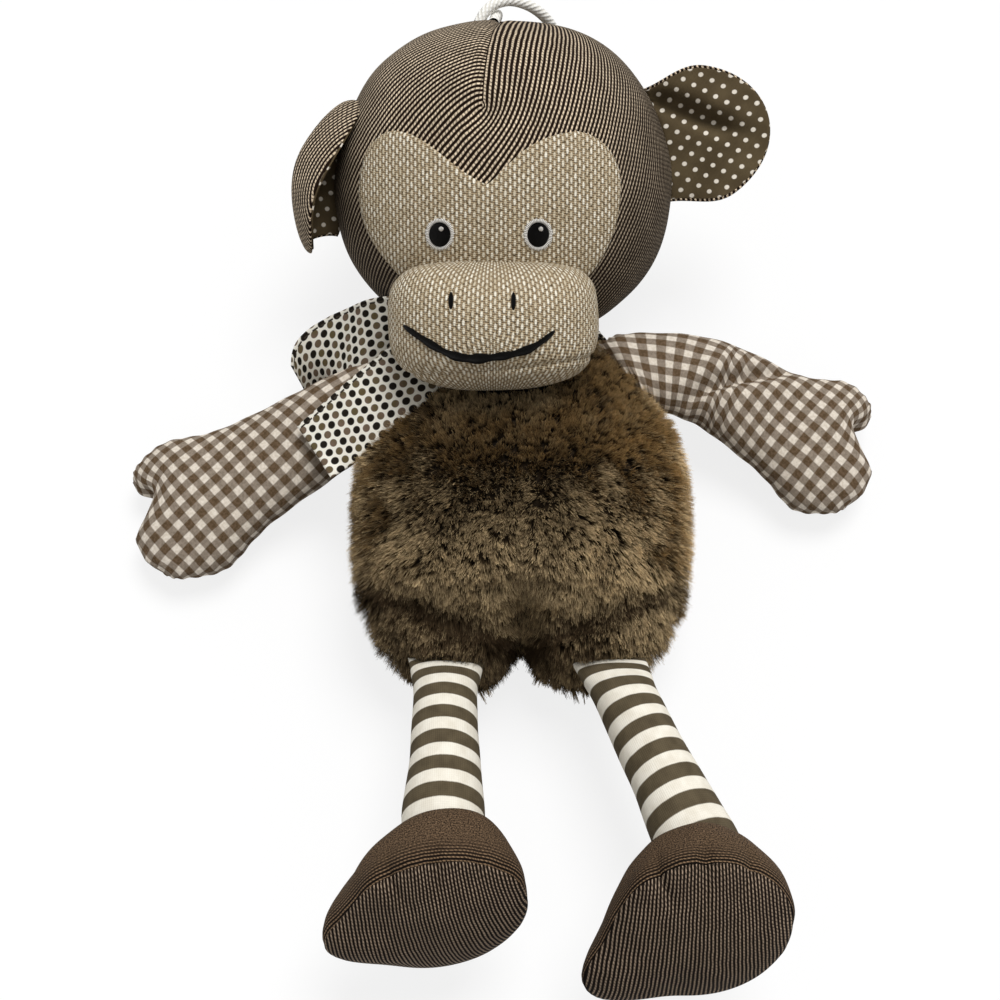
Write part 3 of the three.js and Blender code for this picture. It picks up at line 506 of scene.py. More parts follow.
# %% [markdown]
# ## Head covers
# Two covers meet in a seam over the crown from ear to ear. The front has a dart, a wedge sewn out of the
# cloth from the crown towards the brow, and that is why its ribs meet at an angle there. The cloth
# coordinates unroll a cone round the dart's point, which bends the ribs just as the sewn wedge does.

# %% Head covers
HEAD_COLUMNS, HEAD_ROWS = 88, 96
HEAD_FLAT_ACROSS, HEAD_FLAT_UP = 60, 61
NECK_ALONG, NECK_CLEARANCE = 72, 0.2
POLE_SHARE = 0.9999
DART_COLUMN, DART_UP, DART_WEDGE = 48 / HEAD_COLUMNS, 30, math.radians(60)
DART_ACROSS = math.cos(math.pi * DART_COLUMN) * HEAD_HALF_WIDTH
DART_DEPTH, DART_SOFT, DART_FADES_FROM, DART_FADES_TO = 1.5, 1.6, DART_UP - 3, DART_UP + 8
DART_HOLLOW, DART_HOLLOW_SIZE, DART_HOLLOW_UP = 3.2, 6.5, DART_UP - 2
SEAM_DEPTH, SEAM_SOFT = 1.1, 2.2


def head_point(lift, angle, inset=0.0):
    full = math.cos(lift) ** HEAD_FULLNESS
    reach = (HEAD_UP if lift > 0 else HEAD_DOWN) - inset
    depth = (HEAD_FRONT if math.sin(angle) > 0 else HEAD_BACK) - inset
    return on_head(math.cos(angle) * full * (HEAD_HALF_WIDTH - inset), math.sin(angle) * full * depth,
                   math.sin(lift) * reach)


def head_cover(front):
    turn = 0 if front else math.pi

    def form(u, v):
        lift = (v - 0.5) * math.pi * POLE_SHARE
        angle = turn + u * math.pi
        plain = head_point(lift, angle)
        across, forward, up = head_place(plain)
        inset = SEAM_DEPTH * hump(abs(forward), SEAM_SOFT) + uneven(plain, size=22, amount=0.7)
        if front:
            dart = across - DART_ACROSS * math.cos(lift) ** HEAD_FULLNESS
            inset += DART_DEPTH * hump(dart, DART_SOFT) * smoothstep(up, DART_FADES_FROM, DART_FADES_TO)
            inset += DART_HOLLOW * hump(math.hypot(dart, up - DART_HOLLOW_UP), DART_HOLLOW_SIZE)
        point = head_point(lift, angle, inset)
        return Vector((point.x, max(point.y, NECK_ALONG + NECK_CLEARANCE), max(point.z, 0)))

    return form


def head_flat(u, v):
    """The front laid flat: across from its middle and up from the face's middle."""
    lift = (v - 0.5) * math.pi
    across = (0.5 - u) * math.pi * max(math.cos(lift), 0) ** HEAD_FULLNESS
    return Vector((across * HEAD_FLAT_ACROSS, lift * HEAD_FLAT_UP))


DART_END = 0.5 + math.asin(DART_UP / HEAD_UP) / math.pi
DART_TIP = head_flat(DART_COLUMN, DART_END)
DART_LEAST = DART_END + 0.02


def round_the_dart(u, v):
    """Cloth coordinates unrolled like a cone round the dart's point."""
    away = head_flat(u, v) - DART_TIP
    dart = head_flat(DART_COLUMN, max(v, DART_LEAST)) - DART_TIP
    turned = math.atan2(dart.y, dart.x) - math.atan2(away.y, away.x)
    sewn = (turned % TAU) * (1 - DART_WEDGE / TAU)
    return away.length * math.sin(sewn), away.length * math.cos(sewn)


def round_the_back(u, v):
    """Cloth coordinates of the back, whose ribs run across the head."""
    flat = head_flat(u, v)
    return flat.y, flat.x


for name, front, lay, nodes in (
        ("head_front_cover", True, round_the_dart, ["head_front_panel", "head_filling"]),
        ("head_back_cover", False, round_the_back, ["head_back_panel"])):
    bm = grid(head_cover(front), HEAD_COLUMNS, HEAD_ROWS, lay)
    piece(name, bm, "head", head_twill, nodes, wall=1.0)

# %% [markdown]
# ## Basket-weave linen
# The face and the muzzle are a coarse linen: short upright pale threads set like bricks over a tan net of
# finer ones, with small dark holes. A brick texture has hard edges, so each thread is an oval in its own
# brick instead, and a throw of dice for every brick makes one thread paler than the next.

# %% Linen finish
THREAD_WIDTH, THREAD_LENGTH = 1.6, 3.0
NET_PITCH, NET_LEAN = 0.8, 0.3
HOLE_SIZE, FIBRE_SIZE = 0.9, 0.45


def basket_linen():
    material, shader, start = new_finish("basket_linen", roughness=0.92)
    across, along, flat = cloth_place(start, wander=0.8)
    column = across / THREAD_WIDTH
    row = along / THREAD_LENGTH + column.math("FLOOR") * 0.5
    wide = column.swing()
    long = row.swing()
    thread = 1 - (wide * wide * 1.6 + long * long * 1.1).smooth(0.2, 1.15)
    net = (along / NET_PITCH + column * NET_LEAN).swing().smooth(0.1, 0.9)
    hole = flat.speckle(HOLE_SIZE * MM, detail=1).smooth(0.52, 0.72) * (1 - thread) * 0.8
    fibre = flat.speckle(FIBRE_SIZE * MM).smooth(0.3, 0.75)
    tan = net.mix(paint("75634a"), paint("b5a080"))
    pale = (dice(column, row) * 0.6 + fibre * 0.4).mix(paint("bfae8e"), paint("fffaea"))
    colour = hole.mix(thread.mix(tan, pale), paint("43361f"))
    join(shader, colour, thread + net * 0.3 - hole * 0.4, depth=0.4)
    return material


linen = basket_linen()

# %% [markdown]
# ## Face patch
# A heart of linen sewn to the front of the head, its edge turned under. It could be cut out of the head's
# own cover, but then it would have no hem. A heart drawn on the flat and carried forward on to the head
# gives the outline, and every ring towards its middle is a smaller copy of it. Close to the edge the cloth
# rolls down.

# %% Face patch
PATCH_MIDDLE = Vector((-5, -12))
PATCH_COLUMNS, PATCH_ROWS = 196, 36
PATCH_LIFT, HEM_SOFT, HEM_SUNK = 1.5, 1.3, 0.2
HEART = [
    ((-6, 2), (2, 7), (6, 19), (27, 21)), ((27, 21), (38, 20), (44, 9), (43.5, 0)),
    ((43.5, 0), (43, -14), (39, -24), (32, -32)), ((32, -32), (10, -32), (-17, -32), (-39, -32)),
    ((-39, -32), (-49, -22), (-55, -12), (-54, 2)), ((-54, 2), (-53, 13), (-48, 21), (-40, 21.5)),
    ((-40, 21.5), (-27, 20), (-19, 7), (-6, 2)),
]


def arc_point(arc, t):
    a, b, c, d = [Vector(point) for point in arc]
    return a * (1 - t) ** 3 + b * (3 * t * (1 - t) ** 2) + c * (3 * t * t * (1 - t)) + d * t ** 3


def heart_edge(u):
    place = (u % 1) * len(HEART)
    return arc_point(HEART[int(place) % len(HEART)], place % 1)


def on_face(across, up, lift):
    """A place on the front of the head, lifted off it."""
    rise = up / (HEAD_UP if up > 0 else HEAD_DOWN)
    full = max(1 - rise * rise, 0) ** (HEAD_FULLNESS / 2)
    forward = HEAD_FRONT * math.sqrt(max(full * full - (across / HEAD_HALF_WIDTH) ** 2, 0))
    out = ACROSS * (across / HEAD_HALF_WIDTH ** 2) + FORWARD * (forward / HEAD_FRONT ** 2)
    out += UPWARD * (up / HEAD_UP ** 2)
    return on_head(across, forward, up) + out.normalized() * lift


def patch_form(u, v):
    edge = heart_edge(u)
    flat = edge.lerp(PATCH_MIDDLE, v)
    rolled = 1 - math.exp(-v * (edge - PATCH_MIDDLE).length / HEM_SOFT)
    return on_face(flat.x, flat.y, PATCH_LIFT * rolled - HEM_SUNK)


def patch_lay(u, v):
    flat = heart_edge(u).lerp(PATCH_MIDDLE, v)
    return HEAD_HALF_WIDTH * math.asin(flat.x / HEAD_HALF_WIDTH), HEAD_UP * math.asin(flat.y / HEAD_UP)


bm = grid(patch_form, PATCH_COLUMNS, PATCH_ROWS, patch_lay)
piece("face_patch_linen", bm, "head", linen, ["face_patch"], wall=0.8)

# %% [markdown]
# ## Muzzle
# A stuffed dome of the same linen, sewn from an upper and a chin piece. Two halves made apart would be
# hard to match at their seam. So one dome is made with the groove of the seam already in it, and a plane
# through the groove later cuts it into the two pieces.

# %% Muzzle
MUZZLE_MIDDLE = Vector((-3.7, 49, -49.5))
MUZZLE_HALF_WIDTH, MUZZLE_HALF_HEIGHT, MUZZLE_REACH = 38.5, 23.5, 27
MUZZLE_FULLNESS, MUZZLE_TOP_SQUARENESS, MUZZLE_CHIN_SQUARENESS = 0.8, 0.5, 0.75
SQUARENESS_BLEND = (-0.2, 0.3)
LEVEL_ROUNDS = 16
CHIN_SEAM_UP, CHIN_SEAM_LEAN, CHIN_SEAM_DEPTH, CHIN_SEAM_SOFT = -64, 0.1, 0.9, 1.0
MUZZLE_START = 0.22
CHEST_CLEARANCE = 6


def squareness(angle):
    top = smoothstep(math.sin(angle), *SQUARENESS_BLEND)
    return lerp(MUZZLE_CHIN_SQUARENESS, MUZZLE_TOP_SQUARENESS, top)


def muzzle_point(lift, angle, inset=0.0):
    full = max(math.cos(lift), 0) ** MUZZLE_FULLNESS
    c, s = rounded(angle, squareness(angle))
    return on_head(
        MUZZLE_MIDDLE.x + c * full * (MUZZLE_HALF_WIDTH - inset),
        MUZZLE_MIDDLE.y + math.sin(lift) * (MUZZLE_REACH - inset),
        MUZZLE_MIDDLE.z + s * full * (MUZZLE_HALF_HEIGHT - inset))


def muzzle_level(across, up):
    """How far out on the muzzle's rounded square a place lies, and the angle that leads there."""
    wide = (across - MUZZLE_MIDDLE.x) / MUZZLE_HALF_WIDTH
    tall = (up - MUZZLE_MIDDLE.z) / MUZZLE_HALF_HEIGHT
    angle = math.atan2(tall, wide)
    for _ in range(LEVEL_ROUNDS):
        power = 1 / squareness(angle)
        better = math.atan2(math.copysign(abs(tall) ** power, tall), math.copysign(abs(wide) ** power, wide))
        angle += math.remainder(better - angle, TAU) / 2
    return (abs(wide) ** (2 * power) + abs(tall) ** (2 * power)) ** (0.5 / power), angle


def muzzle_share(point):
    """Below 1 inside the stuffed muzzle, and above 1 outside it."""
    across, forward, up = head_place(point)
    rise = (forward - MUZZLE_MIDDLE.y) / MUZZLE_REACH
    if abs(rise) >= 1:
        return OUTSIDE
    return muzzle_level(across, up)[0] / (1 - rise * rise) ** (MUZZLE_FULLNESS / 2)


def chin_seam(point):
    """How far above the chin seam a place lies."""
    across, _, up = head_place(point)
    return up - CHIN_SEAM_UP - CHIN_SEAM_LEAN * (across - MUZZLE_MIDDLE.x)


def muzzle_form(u, v):
    lift = (lerp(MUZZLE_START, 1, v) - 0.5) * math.pi
    plain = muzzle_point(lift, u * TAU)
    inset = CHIN_SEAM_DEPTH * hump(chin_seam(plain), CHIN_SEAM_SOFT) + uneven(plain, size=14, amount=0.5)
    point = muzzle_point(lift, u * TAU, inset)
    point.z = max(point.z, chest_top(point.x, point.y) + CHEST_CLEARANCE)
    return point


print("muzzle", 2 * MUZZLE_HALF_WIDTH, "mm wide and", 2 * MUZZLE_HALF_HEIGHT, "mm high")

# %% [markdown]
# ## The body's form
# A pear with a flat back, two thigh lobes and a neck. It could be sculpted, but the fur and the ribbon
# also have to find its surface, so it is given by a formula through stations along the toy. The muzzle
# needs it first, because the chin rests just above the chest.

# %% Body form
BODY_HALF_WIDTH, BODY_DEPTH, BODY_BOTTOM = 62, 86.5, 68
SIDE_SEAM, NECK_HALF_WIDTH, LOBE_HALF_WIDTH = 38, 29, 34
SHOULDER_ALONG, SHOULDER_HALF_WIDTH = 40, BODY_HALF_WIDTH - 10
LOBE_NOTCH, LOBE_NOTCH_WIDTH, LOBE_LENGTH = 13, 8, 40
BELLY_FOLD, BELLY_FOLD_ALONG, BELLY_FOLD_WIDTH, BELLY_FOLD_CURVE = 8, -53, 5, 24
FRONT_SEAM, FRONT_SEAM_WIDTH, FRONT_SEAM_FADE = 1.2, 4, (-5, 30)
BODY_SQUARENESS = 0.92
SINK_LIMIT, BACK_CLEARANCE = 0.6, 0.6
CHEST_STEPS, CHEST_SIDE_POWER, CHEST_RISE_POWER = 200, 2.17, 0.46
body_row = through(
    # along, half width, side seam height, depth in front, depth behind
    (-BODY_BOTTOM, LOBE_HALF_WIDTH, 22, 0, 0),
    (-BODY_BOTTOM + 2.5, LOBE_HALF_WIDTH + 9, 22.5, 15, 12),
    (-BODY_BOTTOM + 8, BODY_HALF_WIDTH - 12, 25, 28, 20),
    (-BODY_BOTTOM + 16, BODY_HALF_WIDTH - 7, 29, 37, 28),
    (-BODY_BOTTOM + 24, BODY_HALF_WIDTH - 4, 33, 43, 33.5),
    (-38, BODY_HALF_WIDTH - 1.5, 36, 48, 36.5),
    (-18, BODY_HALF_WIDTH, SIDE_SEAM, BODY_DEPTH - SIDE_SEAM, SIDE_SEAM + FLATTENED),
    (4, BODY_HALF_WIDTH, SIDE_SEAM, BODY_DEPTH - SIDE_SEAM - 4, SIDE_SEAM + FLATTENED),
    (24, BODY_HALF_WIDTH - 3, SIDE_SEAM, 34, SIDE_SEAM + FLATTENED),
    (SHOULDER_ALONG, SHOULDER_HALF_WIDTH, SIDE_SEAM, 23, SIDE_SEAM),
    (56, NECK_HALF_WIDTH + 12, 36, 18, 33),
    (65, NECK_HALF_WIDTH + 5, 34, 17, 25),
    (NECK_ALONG - 0.15, NECK_HALF_WIDTH, 33, 16, 18))


def belly_fold(x):
    """How far along the crease above the thighs lies: it climbs towards the sides."""
    return BELLY_FOLD_ALONG + BELLY_FOLD_CURVE * (x / BODY_HALF_WIDTH) ** 2


def body_point(t, angle, inset=0.0):
    """A place on the body: a share of the way to the neck, an angle round it and how deep inside."""
    along, half_width, seam, front, back = body_row(t)
    c, s = rounded(angle, BODY_SQUARENESS)
    depth = max((front if s > 0 else back) - inset, 0)
    x = c * (half_width - inset)
    y = along * (1 - inset / NECK_ALONG)
    low = smoothstep(-y, BODY_BOTTOM - LOBE_LENGTH, BODY_BOTTOM)
    notch = LOBE_NOTCH * low * hump(x, LOBE_NOTCH_WIDTH)
    fold = BELLY_FOLD * hump(y - belly_fold(x), BELLY_FOLD_WIDTH)
    groove = FRONT_SEAM * hump(x, FRONT_SEAM_WIDTH) * smoothstep(-y, *FRONT_SEAM_FADE)
    sink = min(s * (fold + groove + notch / 2), s * depth * SINK_LIMIT) if s > 0 else 0
    return Vector((x, y + notch, max(seam + s * depth - sink, BACK_CLEARANCE)))


CHEST = [body_row(i / CHEST_STEPS) for i in range(CHEST_STEPS + 1)]


def chest_top(x, y):
    """How high the front of the body stands over a place on the ground."""
    row = min(CHEST, key=lambda r: abs(r[0] - y))
    share = min(abs(x) / row[1], 1)
    return row[2] + max(1 - share ** CHEST_SIDE_POWER, 0) ** CHEST_RISE_POWER * row[3]


print("body", 2 * BODY_HALF_WIDTH, "mm wide and", BODY_BOTTOM + NECK_ALONG, "mm long")

# %% Muzzle covers
MUZZLE_COLUMNS, MUZZLE_ROWS = 128, 56
muzzle_lay = spread_from_tip(muzzle_form, MUZZLE_COLUMNS, MUZZLE_ROWS, ACROSS, UPWARD)
CHIN_NORMAL = UPWARD - ACROSS * CHIN_SEAM_LEAN
for name, nodes, above in (("muzzle_upper_cover", ["muzzle_upper_panel", "muzzle_filling"], True),
                           ("muzzle_chin_cover", ["muzzle_chin_panel"], False)):
    bm = grid(muzzle_form, MUZZLE_COLUMNS, MUZZLE_ROWS, muzzle_lay)
    bmesh.ops.bisect_plane(
        bm, geom=[*bm.verts, *bm.edges, *bm.faces], plane_no=CHIN_NORMAL,
        plane_co=on_head(MUZZLE_MIDDLE.x, 0, CHIN_SEAM_UP) * MM, clear_inner=above, clear_outer=not above)
    piece(name, bm, "head", linen, nodes, wall=0.8)

# %% [markdown]
# ## Embroidered face
# Eyes, nostrils and mouth are worked in thread, so they stand proud of the linen in low rounded heaps with
# the stitches side by side. A painted spot would be quicker, but it would show no edge in side light.


# %% Thread finishes
def stitched_thread(name, dark, light, pitch):
    material, shader, start = new_finish(name, roughness=0.55)
    across, _, flat = cloth_place(start, wander=0.25)
    strand = 1 - (across / pitch).swing()
    shade = strand.smooth(0.1, 0.8) * (flat.speckle(0.6 * MM) * 0.5 + 0.7)
    join(shader, shade.mix(paint(dark), paint(light)), strand, depth=0.25)
    return material


black_thread = stitched_thread("black_thread", "020202", "0e0c0b", 0.45)
white_thread = stitched_thread("white_thread", "a9a49a", "f6f3ee", 0.5)

# %% Eyes
EYE_UP, EYE_ACROSS = -16, {"left": 12.4, "right": -22.7}
EYE_HALF_WIDTH, EYE_HALF_HEIGHT, EYE_HEAP = 4.0, 4.5, 1.2
RING_HALF, RING_REACH, RING_SUNK, RING_HEAP = 0.7, 0.75, 0.2, 0.55
RING_STITCHES, RING_STITCH_RAGGED, RING_WAVES, RING_WAVE_RAGGED = 27, 0.16, 11, 0.1
RING_LENGTH, RING_WIDTH = 27, 3
GLINT_RADIUS, GLINT_UP, GLINT_ACROSS, GLINT_HEAP, GLINT_SUNK = 0.85, 2.2, 0.8, 0.5, 0.1
ON_PATCH, THREAD_SUNK = PATCH_LIFT - HEM_SUNK, 0.15
EYE_COLUMNS, EYE_ROWS, GLINT_COLUMNS, GLINT_ROWS = 40, 10, 20, 6
RING_COLUMNS, RING_ROWS = 6 * RING_STITCHES, 10


def heap(across, up, half_width, half_height, height, surface):
    """A low heap of thread on a surface."""
    def form(u, v):
        out = 1 - v
        rise = math.sqrt(max(1 - out ** 3, 0)) * height
        return surface(across + math.cos(u * TAU) * half_width * out,
                       up + math.sin(u * TAU) * half_height * out, rise)

    return form


def on_patch(across, up, lift):
    return on_face(across, up, ON_PATCH + lift - THREAD_SUNK)


def ring_form(across):
    """The white outline of an eye, with its outer edge ragged where the stitches end."""
    def form(u, v):
        angle = u * TAU
        ragged = (RING_STITCH_RAGGED * math.sin(angle * RING_STITCHES)
                  + RING_WAVE_RAGGED * math.sin(angle * RING_WAVES))
        out = math.cos(v * TAU)
        wide = RING_HALF + ragged * max(out, 0)
        reach = RING_HALF * RING_REACH + out * wide
        return on_patch(across + math.cos(angle) * (EYE_HALF_WIDTH + reach),
                        EYE_UP + math.sin(angle) * (EYE_HALF_HEIGHT + reach),
                        RING_SUNK + math.sin(v * TAU) * RING_HEAP)

    return form


def flat_lay(form):
    """Cloth coordinates across and up on the head."""
    def lay(u, v):
        across, _, up = head_place(form(u, v))
        return across, up

    return lay


for side, across in EYE_ACROSS.items():
    eye = heap(across, EYE_UP, EYE_HALF_WIDTH, EYE_HALF_HEIGHT, EYE_HEAP, on_patch)
    bm = grid(eye, EYE_COLUMNS, EYE_ROWS, flat_lay(eye))
    piece(f"{side}_eye_thread", bm, "head", black_thread, [f"{side}_eye"], wall=0.5)
    ring = ring_form(across)
    bm = grid(ring, RING_COLUMNS, RING_ROWS, lambda u, v: (u * RING_LENGTH, v * RING_WIDTH))
    piece(f"{side}_eye_ring_thread", bm, "head", white_thread, [f"{side}_eye_ring"])
    glint = heap(across + GLINT_ACROSS, EYE_UP + GLINT_UP, GLINT_RADIUS, GLINT_RADIUS, GLINT_HEAP,
                 lambda a, b, lift: on_patch(a, b, EYE_HEAP + lift - GLINT_SUNK))
    bm = grid(glint, GLINT_COLUMNS, GLINT_ROWS, flat_lay(glint))
    piece(f"{side}_eye_glint_thread", bm, "head", white_thread,
          [f"{side}_eye_highlight"], wall=0.3)

# %% Nostrils and mouth
NOSTRIL_UP, NOSTRIL_ACROSS = -39, {"left": 3.5, "right": -18.5}
NOSTRIL_HALF_WIDTH, NOSTRIL_HALF_HEIGHT, NOSTRIL_HEAP = 1.0, 3.4, 0.9
MOUTH_LEFT, MOUTH_DIP, MOUTH_RIGHT = Vector((18.5, -49.5)), Vector((-8, -70)), Vector((-36, -48))
MOUTH_HALF_WIDTH, MOUTH_HEAP, MOUTH_LIFT = 1.5, 1.4, 0.2
MOUTH_SIDES, MOUTH_STEPS, MOUTH_LOOK_AHEAD = 14, 120, 0.01
MOUTH_END_POWER, MOUTH_RAGGED, MOUTH_WANDER, MOUTH_WANDERS = 0.3, [(0.14, 41), (0.1, 17)], 0.35, 13
NOSTRIL_COLUMNS, NOSTRIL_ROWS = 32, 8
ON_LINEN, LEVEL_LIMIT = 0.25, 0.999


def on_muzzle(across, up, lift):
    """A place on the front of the muzzle, lifted off it."""
    level, angle = muzzle_level(across, up)
    lean = math.acos(min(level, LEVEL_LIMIT) ** (1 / MUZZLE_FULLNESS))
    return muzzle_point(lean, angle, ON_LINEN - lift)


def mouth_line(t):
    return MOUTH_RIGHT * (1 - t) ** 2 + MOUTH_DIP * (2 * t * (1 - t)) + MOUTH_LEFT * t * t


def mouth_form(u, v):
    """A thick line of thread, thin at its ends and a little uneven."""
    ahead, behind = min(v + MOUTH_LOOK_AHEAD, 1), max(v - MOUTH_LOOK_AHEAD, 0)
    along = (mouth_line(ahead) - mouth_line(behind)).normalized()
    middle = mouth_line(v)
    thick = MOUTH_HALF_WIDTH * max(math.sin(v * math.pi), 0) ** MOUTH_END_POWER
    thick *= 1 + sum(amount * math.sin(v * pace) for amount, pace in MOUTH_RAGGED)
    out = math.cos(u * TAU) * thick
    wander = MOUTH_WANDER * math.sin(v * MOUTH_WANDERS)
    return on_muzzle(middle.x - along.y * (out + wander), middle.y + along.x * (out + wander),
                     MOUTH_LIFT + math.sin(u * TAU) * MOUTH_HEAP * thick / MOUTH_HALF_WIDTH)


for side, across in NOSTRIL_ACROSS.items():
    nostril = heap(across, NOSTRIL_UP, NOSTRIL_HALF_WIDTH, NOSTRIL_HALF_HEIGHT, NOSTRIL_HEAP, on_muzzle)
    bm = grid(nostril, NOSTRIL_COLUMNS, NOSTRIL_ROWS, flat_lay(nostril))
    piece(f"{side}_nostril_thread", bm, "head", black_thread, [f"{side}_nostril"], wall=0.4)
bm = plain_grid(mouth_form, MOUTH_SIDES, MOUTH_STEPS)
piece("mouth_thread", bm, "head", black_thread, ["mouth_stitch"])

# %% [markdown]
# ## Ears
# Each ear is a flat pocket sewn into the head's side seam: pin-dotted cotton in front, twill behind, and
# the twill shows as a rim because the seam rolls forward. A flat disc would stretch where it is bent, so
# each column of the grid follows its own line out from the seam. The left ear's lines are almost straight,
# with a pleat from the upper root, and the right one's turn over where that ear has folded forward.

# %% Pin-dot finish
DOT_SPACING, DOT_RADIUS, DOT_BLUR, DOT_WEAVE = 4.4, 0.82, 0.18, 0.42


def pin_dots():
    material, shader, start = new_finish("pin_dot_cotton", roughness=0.88)
    across, along, flat = cloth_place(start, wander=0.3)
    step = DOT_SPACING * math.sqrt(2)

    def from_dot(shift):
        wide = (across / step + shift).swing()
        long = (along / step + shift).swing()
        return (wide * wide + long * long).math("SQRT")

    nearest = from_dot(0.0).math("MINIMUM", from_dot(0.5)) * (step / 2)
    dot = 1 - nearest.smooth(DOT_RADIUS - DOT_BLUR, DOT_RADIUS + DOT_BLUR)
    weave = (across / DOT_WEAVE).swing() * (along / DOT_WEAVE).swing()
    cloud = flat.speckle(12 * MM, detail=3).smooth(0.3, 0.75)
    taupe = (cloud * 0.7 + weave * 0.3).mix(paint("4c402d"), paint("685a42"))
    cream = weave.mix(paint("f1e9db"), paint("d9cebc"))
    join(shader, dot.mix(taupe, cream), weave, depth=0.1)
    return material


pin_dot_cotton = pin_dots()

# %% Ears
EAR_LENGTH, EAR_ROOT_HALF_WIDTH = 40, 22
EAR_HALF_THICKNESS, EAR_ROOT_HALF_THICKNESS = 3.6, 1.4
EAR_SUNK, EAR_CUP, EAR_LEAN = 6, 6, math.radians(14)
EAR_SPREADS_BY, EAR_TIP_POWER, EAR_RIM = 0.6, 2.5, 0.3
SEAM_SHARE, SEAM_STEPS = 0.975, 60
PLEAT_START, PLEAT_END = Vector((19, 3)), Vector((-3, 31))
PLEAT_DEPTH, PLEAT_SOFT, PLEAT_VALLEY = 4.2, 3.2, 1
PLEAT_ROLL, PLEAT_ROLL_SOFT, PLEAT_CREST = 2.2, 5, -6
PLEAT_OPENS, PLEAT_CLOSES = (-0.15, 0.15), (0.65, 1.15)
CURL_START, CURL_END, CURL_BOW, CURL_STEPS = 0.2, 0.7, 0.2, 24
EAR_PLANS = {
    # side, height of the root, half width, fold at root and tip, slant of the fold and whether it is pleated
    "left": (1, 16, 29, 4, 12, 0, True),
    "right": (-1, 3, 34, 18, 121, 18, False),
}


def pleat(w, out):
    """How far the pleat pulls the ear back, by its place across and out on the ear."""
    along = (PLEAT_END - PLEAT_START).normalized()
    away = Vector((w, out)) - PLEAT_START
    beside = along.x * away.y - along.y * away.x
    run = along.dot(away) / (PLEAT_END - PLEAT_START).length
    fade = smoothstep(run, *PLEAT_OPENS) * (1 - smoothstep(run, *PLEAT_CLOSES))
    valley = PLEAT_DEPTH * hump(beside - PLEAT_VALLEY, PLEAT_SOFT)
    return fade * (valley - PLEAT_ROLL * hump(beside - PLEAT_CREST, PLEAT_ROLL_SOFT))


def ear_covers(side, root_up, broad, root_fold, tip_fold, slant, pleated):
    """A function that gives the form and the cloth coordinates of an ear between two angles round it."""
    seam_across = HEAD_HALF_WIDTH * (1 - (root_up / HEAD_UP) ** 2) ** (HEAD_FULLNESS / 2)
    root = on_head(side * (seam_across - EAR_SUNK), 0, root_up)
    along = ACROSS * (-side * math.sin(EAR_LEAN)) + UPWARD * math.cos(EAR_LEAN)
    straight = ACROSS * (side * math.cos(EAR_LEAN)) + UPWARD * math.sin(EAR_LEAN)

    def fold_at(reach, w):
        tip = tip_fold + slant * w / broad
        early = CURL_BOW * (w / broad) ** 2
        return math.radians(lerp(root_fold, tip, smoothstep(reach + early, CURL_START, CURL_END)))

    def middle_line(reach, w):
        folds = [fold_at(reach * (i + 0.5) / CURL_STEPS, w) for i in range(CURL_STEPS)]
        step = reach * (EAR_SUNK + EAR_LENGTH) / CURL_STEPS
        return root + (straight * sum(map(math.cos, folds)) + FORWARD * sum(map(math.sin, folds))) * step

    def at(t, angle):
        reach = math.sin(t * math.pi / 2)
        spread = smoothstep(reach, 0, EAR_SPREADS_BY)
        half_width = lerp(EAR_ROOT_HALF_WIDTH, broad, spread)
        thick = lerp(EAR_ROOT_HALF_THICKNESS, EAR_HALF_THICKNESS, spread)
        close = math.sqrt(max(1 - reach ** EAR_TIP_POWER, 0))
        w = math.cos(angle) * half_width * close
        out = reach * EAR_LENGTH
        cup = EAR_CUP * (w / broad) ** 2 * spread
        lift = math.sin(angle) * thick * close + cup - (pleat(w, out) if pleated else 0)
        fold = fold_at(reach, w)
        facing = FORWARD * math.cos(fold) - straight * math.sin(fold)
        place = middle_line(reach, w) + along * w + facing * lift
        return place + facing * uneven(place, size=16, amount=0.6), (w, out)

    def leaves_head(angle):
        steps = [i / SEAM_STEPS for i in range(SEAM_STEPS)]
        return next((t for t in steps if head_share(at(t, angle)[0]) > SEAM_SHARE), 0)

    def cover(start, end):
        roots = {}

        def spot(u, v):
            angle = lerp(start, end, u)
            if u not in roots:
                roots[u] = leaves_head(angle)
            return at(lerp(roots[u], 1, v), angle)

        return (lambda u, v: spot(u, v)[0]), (lambda u, v: spot(u, v)[1])

    return cover


print("ears", EAR_LENGTH, "mm long")

# %% Ear covers
LINING_COLUMNS, EAR_BACK_COLUMNS, EAR_ROWS = 56, 72, 40
for name, plan in EAR_PLANS.items():
    cover = ear_covers(*plan)
    form, lay = cover(EAR_RIM, math.pi - EAR_RIM)
    bm = grid(form, LINING_COLUMNS, EAR_ROWS, lay)
    piece(f"{name}_ear_lining_cotton", bm, f"{name}_ear", pin_dot_cotton,
          [f"{name}_ear_lining"], wall=0.6)
    form, lay = cover(math.pi - EAR_RIM, TAU + EAR_RIM)
    bm = grid(form, EAR_BACK_COLUMNS, EAR_ROWS, lambda u, v: lay(u, v)[::-1])
    piece(f"{name}_ear_back_twill", bm, f"{name}_ear", head_twill, [f"{name}_ear_back"],
          wall=0.6)

# %% [markdown]
# ## Gingham arms
# Each arm is two pieces of checked cotton with a mitten hand, seamed along its edges and stuffed until the
# seam puckers. The left one is bent at the elbow, where the cloth folds over itself. A cloth simulation
# could fold it, but moves on the grid give the same creases every time. Checks come from two sets of
# bands, one across and one along: where they cross the cloth is darkest.

# %% Gingham finish
CHECK, CHECK_EDGE = 6.35, (0.4, 0.56)
TWIST_PITCH, CHECK_WEAVE = 0.62, 0.34


